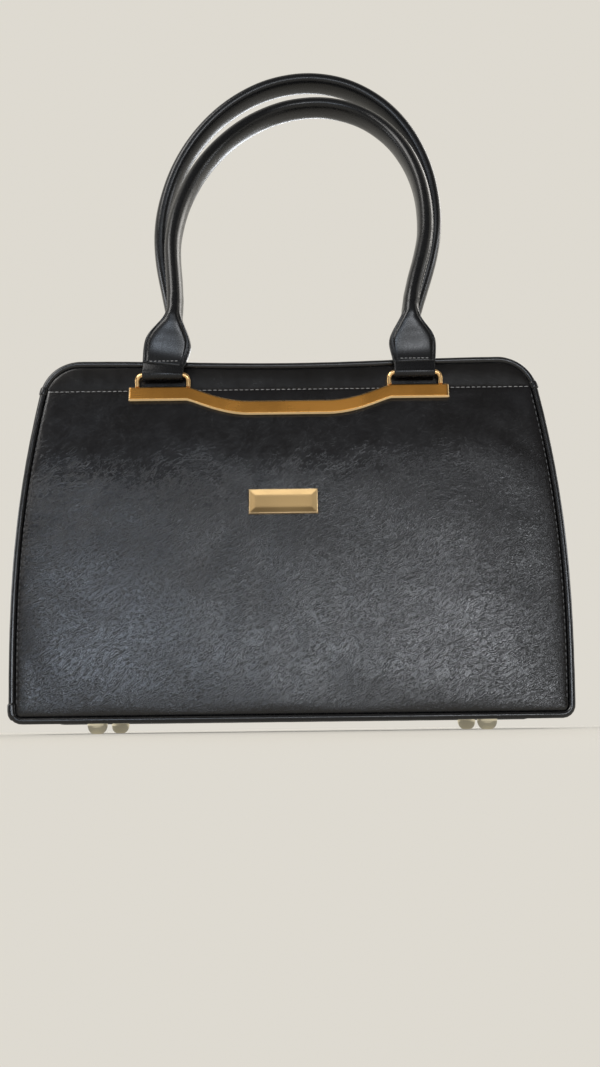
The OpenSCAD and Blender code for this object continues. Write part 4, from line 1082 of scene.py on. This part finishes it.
def handle_sections(h):
    """Sections of the leather at heights h: a flat, grooved tab that rolls up into a round grip."""
    number, h = np.arange(len(h))[:, None], h[:, None]
    half_w = np.where(h < TAB_WIDE_H, STRAP_W / 2 + (TAB_W - STRAP_W) / 2 * smooth(h / TAB_WIDE_H),
                      TAB_W / 2 + (GRIP_W - TAB_W) / 2 * smooth((h - TAB_WIDE_H) / (NECK_H - TAB_WIDE_H)))
    rolled = smooth((h - TAB_WIDE_H / 2) / (NECK_H - TAB_WIDE_H / 2))
    half_d = TAB_HALF_D + (GRIP_D / 2 - TAB_HALF_D) * rolled
    opening = smooth(h / NECK_H)
    power = TAB_POWER * (1 - opening) + GRIP_POWER * opening
    # points round the section lie closer together at the seam
    t = np.linspace(0, 2 * math.pi, GRIP_SIDES + 1)[:-1]
    t = np.sort(np.concatenate([t, SEAM_TURN + np.array([-0.06, -0.03, 0.0, 0.03, 0.06])]))
    c, s = np.cos(t), np.sin(t)
    across, deep = drawn_out(c, power) * half_w, drawn_out(s, power) * half_d
    # a groove is pressed in beside the tab's edge, and the edge stands a little proud
    tab = smooth((NECK_H - 1 - h) / 9)
    groove = np.exp(-((np.abs(across) - (half_w - 2.3)) / 0.5) ** 2)
    bead = np.exp(-((np.abs(across) - (half_w - 0.9)) / 0.8) ** 2)
    deep = deep * (1 - tab * (0.22 * groove - 0.06 * bead) * (np.abs(s) > 0.25))
    # on the grip the leather's edges meet in a fine cut between two raised lips
    off = np.abs((t - SEAM_TURN + math.pi) % (2 * math.pi) - math.pi)
    cut = (0.4 * np.exp(-(off / 0.035) ** 2) - 0.14 * np.exp(-((off - 0.14) / 0.08) ** 2)) * (1 - tab)
    # the leather crumples where the tab rolls up, and is a little uneven all along
    crumple = 0.16 * ripple(h * 1.6, 9 * t, 11, 31) * np.exp(-((h - NECK_H) / 14) ** 2)
    uneven = 0.1 * ripple(number * 2.4, 7 * t, 34, 33)
    scale = 1 - (cut - crumple - uneven) / np.maximum(np.hypot(across, deep), 3)
    return np.stack([across * scale, deep * scale], axis=-1)


def hung(points, side):
    """Points measured from the loops' wire, set at the front or the back."""
    return points * (1, -side, 1) + HINGE * (1, -side, 1)


def handle(word, side):
    """Rolled leather over a core: it opens at each neck into a flat tab that is folded round a loop."""
    spec, keys = HANDLES[word], {"body": word + "_handle", "slot": "smooth_leather"}
    path, h = handle_path(spec)
    tangent, back = runs(path), np.array([0.0, 1.0, 0.0])
    nodes = [f"handle_{word}_{part}" for part in ("cover", "tab_left", "tab_right")]
    rolled = skin(f"handle_{word}_leather", hung(placed(handle_sections(h), path, tangent, back), side),
                  GRIP_LEATHER, wrap_cols=True, caps=True, flip=side < 0, replaces=nodes, **keys)
    n = unit(np.cross(tangent, back))
    b = np.cross(n, tangent)
    c, s = math.cos(STITCH_TURN), math.sin(STITCH_TURN)
    keep = h > NECK_H + 6
    line = path + n * drawn_out(c, GRIP_POWER) * GRIP_W / 2 + b * drawn_out(s, GRIP_POWER) * GRIP_D / 2
    fine = resample(hung(line[keep], side), GRIP_STITCH[0])
    out = unit(n * c / GRIP_W + b * s / GRIP_D)[keep] * (1, -side, 1)
    at, known = np.linspace(0, 1, len(fine)), np.linspace(0, 1, len(out))
    out = np.column_stack([np.interp(at, known, out[:, i]) for i in range(3)])
    stitches(f"handle_{word}_seam_0", fine, unit(out), DARK_THREAD, *GRIP_STITCH, **keys)
    for end, across in ENDS:
        strap(f"handle_{word}_strap_{end}", across, spec, side, **keys)


def strap(name, across, spec, side, **keys):
    """The strip that folds round the loop's wire and is sewn into the tab."""
    middle = across * LOOP_SPAN / 2
    r = WIRE_R + FIT + STRAP_T / 2
    bend = arc(0, 0, r, *np.radians(STRAP_TURNS), 39)
    ups = np.linspace(STRAP_END_H, bend[0, 1], 8)[:-1]
    opened = smooth((STRAP_END_H - ups) / STRAP_RUN)
    legs = np.column_stack([-(STRAP_HALF_GAP + (abs(bend[0, 0]) - STRAP_HALF_GAP) * opened), ups])
    line = np.vstack([legs, bend, (legs * (-1, 1))[::-1]])
    shift = np.interp(line[:, 1], [0, STRAP_END_H], [0, 1])
    x, y, _ = leg(spec, across, np.array(STRAP_END_H))
    path = np.column_stack([middle + shift * (x - middle), line[:, 0] + shift * y, line[:, 1]])
    half_t, half_w = STRAP_T / 2, STRAP_W / 2 - 0.15
    ring = rounded([[-half_t, -half_w], [half_t, -half_w], [half_t, half_w], [-half_t, half_w]], 0.45)
    rings = np.broadcast_to(ring, (len(path), *ring.shape))
    points = hung(placed(rings, path, runs(path), np.array([1.0, 0.0, 0.0])), side)
    skin(name, points, GRIP_LEATHER, wrap_cols=True, caps=True, flip=side > 0, **keys)
    x, y, _ = leg(spec, across, np.array(STRAP_STITCH_H))
    wide = STRAP_W / 2 - 3.6
    # the face that looks away from the bag comes first
    for word, face in FACES[::-side]:
        row = [[x + to, y - side * face * (STRAP_T + 0.82), STRAP_STITCH_H] for to in (-wide, wide)]
        stitches(f"{name}_stitches_{word}", hung(np.array(row), side), (0, face, 0), PALE_THREAD,
                 *STRAP_STITCH, **keys)


handle("front", -1)
handle("back", 1)


# Lining

LINING_SIDES, LINING_ROWS, LINING_POWER = 168, 48, 14.0
# Shares of the floor's size for the rings on the floor, and how far the cloth lies off the walls
FLOOR_SHARES, LINING_OFF_SIDES, LINING_OFF_FACES = (0.04, 0.45, 0.93), 0.5, 0.4
LINING_GIRTH, FOLD_DEPTH, FOLD_SIZE, LINING_STITCH = 840, 2.6, 60, (3.4, 2.4, 0.2)


def lining():
    """The cloth pocket inside: a floor, four walls with soft folds and a sewn top edge."""
    low, high = EDGE_IN, STRIP_Z - FOOT_H - 2 * TAPE_T - FIT
    floor = [low + 0.35] * len(FLOOR_SHARES)
    wall = low + 0.4 + np.linspace(0, 1, LINING_ROWS) ** 0.9 * (high - 1.2 - low)
    heights = np.concatenate([floor, wall, [high - 0.5, high - 0.1]])
    t = 2 * math.pi * np.arange(LINING_SIDES) / LINING_SIDES
    rings = []
    for h, share in zip(heights, [*FLOOR_SHARES] + [1.0] * (len(heights) - len(FLOOR_SHARES))):
        corner = math.sqrt(max((SHOULDER_R - EDGE_IN) ** 2 - (h - SHOULDER_H) ** 2, 0))
        a = (edge_x(h, EDGE_IN) if h < SHOULDER_H else SHOULDER_X + corner) - LINING_OFF_SIDES
        b = half_depth(h) - WALL_T / COS - LINING_OFF_FACES
        x, y = a * share * drawn_out(np.cos(t), LINING_POWER), b * share * drawn_out(np.sin(t), LINING_POWER)
        rings.append(np.column_stack([x, y, 0 * x + FOOT_H + h]))
    rings = np.array(rings)
    hh = rings[..., 2] - FOOT_H
    around = np.arange(LINING_SIDES) * LINING_GIRTH / LINING_SIDES
    fold = 0.5 + 0.5 * ripple(around + 0 * hh, hh * 0.35, FOLD_SIZE, 41)
    depth = FOLD_DEPTH * fold * smooth((hh - low) / 30) * smooth((high - hh) / 22)
    centre = unit(np.stack([rings[..., 0] * 0.15, rings[..., 1], 0 * hh], axis=-1))
    piece = skin("lining_pocket", rings - centre * depth[..., None], LINING_CLOTH, wrap_cols=True, flip=True,
                 body="bag", slot="lining", replaces=["lining"])
    area = sum(p.area for p in piece.data.polygons)
    for word, face in FACES:
        h = high - 3
        y = face * (half_depth(h) - WALL_T / COS - LINING_OFF_FACES - 0.25)
        row = [[x, y, FOOT_H + h] for x in (4 - SHOULDER_X, SHOULDER_X - 4)]
        stitches(f"lining_stitches_{word}", row, (0, -face, 0), PALE_THREAD, *LINING_STITCH, body="bag",
                 slot="lining")


lining()


# Camera, light and surroundings

# The photograph's frame is 1067 pixels high. The camera stands low in front and looks up a little.
FOCAL_PX, FRAME_H, SENSOR = 1100.0, 1067.0, 36.0
CAMERA_PLACE, CAMERA_TILT, CAMERA_ROLL = (0.0059, -0.7069, 0.003), 9.95, -0.7
PAPER, FILL = (0.73, 0.7, 0.635), 0.75
CARD_RADIUS, CARD_TURN, CARD_RISE, CARD_LIGHT = 3.2, 70, 76, 0.14
FLOOR_SIZE, FLOOR_FADE, FLOOR_GLOW = 40, (0.25, 0.7), 0.3


def view():
    camera = add_object("camera", bpy.data.cameras.new("camera"))
    camera.data.sensor_width = SENSOR
    camera.data.lens = SENSOR * FOCAL_PX / FRAME_H
    camera.data.clip_start, camera.data.clip_end = 0.005, 50
    camera.location = CAMERA_PLACE
    tilt = Matrix.Rotation(math.radians(90 + CAMERA_TILT), 3, "X")
    camera.rotation_euler = (tilt @ Matrix.Rotation(math.radians(CAMERA_ROLL), 3, "Z")).to_euler()
    bpy.context.scene.camera = camera


def seen(tree):
    """1 for what the camera, a reflection or glass sees, and 0 for what lights the object."""
    path = tree.nodes.new("ShaderNodeLightPath")
    total = path.outputs["Is Camera Ray"]
    for kind in ("Is Glossy Ray", "Is Transmission Ray"):
        most = tree.nodes.new("ShaderNodeMath")
        most.operation = "MAXIMUM"
        tree.links.new(total, most.inputs[0])
        tree.links.new(path.outputs[kind], most.inputs[1])
        total = most.outputs[0]
    return total


def room():
    """An even pale room."""
    world = bpy.data.worlds.new("studio")
    bpy.context.scene.world = world
    world.use_nodes = True
    tree = world.node_tree
    new, link = tree.nodes.new, tree.links.new
    plain, shown, choose = tree.nodes["Background"], new("ShaderNodeBackground"), new("ShaderNodeMixShader")
    for shader, strength in ((plain, FILL), (shown, 1.0)):
        shader.inputs["Color"].default_value = (*PAPER, 1)
        shader.inputs["Strength"].default_value = strength
    link(seen(tree), choose.inputs[0])
    link(plain.outputs[0], choose.inputs[1])
    link(shown.outputs[0], choose.inputs[2])
    link(choose.outputs[0], tree.nodes["World Output"].inputs[0])


def card():
    """A dim curved card behind and over the camera, as a studio uses, so that leather and metal stay deep."""
    turns = np.radians(np.linspace(-CARD_TURN, CARD_TURN, 25))
    rises = np.radians(np.linspace(0, CARD_RISE, 15)[:, None])
    points = np.broadcast_arrays(np.sin(turns) * np.cos(rises), -np.cos(turns) * np.cos(rises), np.sin(rises))
    m = Maker("dim_card", (0, 0, 0), 1.0)
    m.show(m.node("ShaderNodeEmission", {"Color": (*PAPER, 1), "Strength": CARD_LIGHT}).outputs[0])
    obj = skin("dim_card", np.stack(points, axis=-1) * CARD_RADIUS / MM, m.mat)
    obj.visible_camera = False


def ground():
    """Pale paper on the floor. Far away it takes the room's own colour, so no horizon shows."""
    bpy.ops.mesh.primitive_plane_add(size=FLOOR_SIZE)
    floor = bpy.context.object
    floor.name = "floor"
    m = Maker("floor_paper", PAPER, 0.9)
    coords = m.place()
    m.bump(m.noise(coords, 0.0015, 3), 0.00003)
    tone = m.ramp(m.noise(coords, 0.4, 2), 0.3, 0.7)
    m.put("Base Color", m.mix(tone, PAPER, [c * 0.97 for c in PAPER]))
    away = m.node("ShaderNodeVectorMath", {0: coords}, operation="LENGTH").outputs["Value"]
    far = m.ramp(away, *FLOOR_FADE)
    glow = m.node("ShaderNodeEmission", {"Color": (*PAPER, 1), "Strength": 1.0})
    share = m.math("MULTIPLY", m.math("MAXIMUM", far, FLOOR_GLOW), seen(m.tree))
    m.show(m.node("ShaderNodeMixShader", {0: share, 1: m.shader.outputs[0], 2: glow.outputs[0]}).outputs[0])
    floor.data.materials.append(m.mat)


def softbox(name, place, aim_h, size, power, color):
    """A lamp behind a rectangle of cloth, aimed at a height on the bag's middle line."""
    lamp = bpy.data.lights.new(name, "AREA")
    lamp.shape, lamp.size, lamp.size_y = "RECTANGLE", *size
    lamp.energy, lamp.color = power, color
    obj = add_object(name, lamp)
    obj.location = place
    obj.rotation_euler = (Vector((0, 0, aim_h)) - Vector(place)).to_track_quat("-Z", "Y").to_euler()


view()
room()
card()
ground()
softbox("key", (-1.6, -1.3, 2.0), 0.2, (1.3, 1.3), 42, (1, 0.98, 0.95))
softbox("window_left", (-0.6, -2.5, 0.61), 0.1, (0.4, 0.34), 7.6, (0.76, 0.86, 1))
softbox("window_mid", (-0.02, -2.5, 0.62), 0.1, (0.22, 0.3), 4.0, (0.88, 0.94, 1))
softbox("window_right", (0.52, -2.5, 0.64), 0.1, (0.46, 0.36), 10.5, (0.92, 0.95, 1))
softbox("window_back", (0.5, 2.5, 0.7), 0.1, (1.2, 0.5), 14.0, (0.9, 0.94, 1))
for word, side in ENDS:
    softbox("window_side_" + word, (side * 2.5, 0.2, 0.7), 0.1, (1.0, 0.45), 9.0, (0.9, 0.94, 1))
softbox("rim", (1.3, 1.3, 1.5), 0.25, (1.0, 1.0), 12, (1, 0.97, 0.93))

bpy.context.scene.view_settings.view_transform = "Standard"
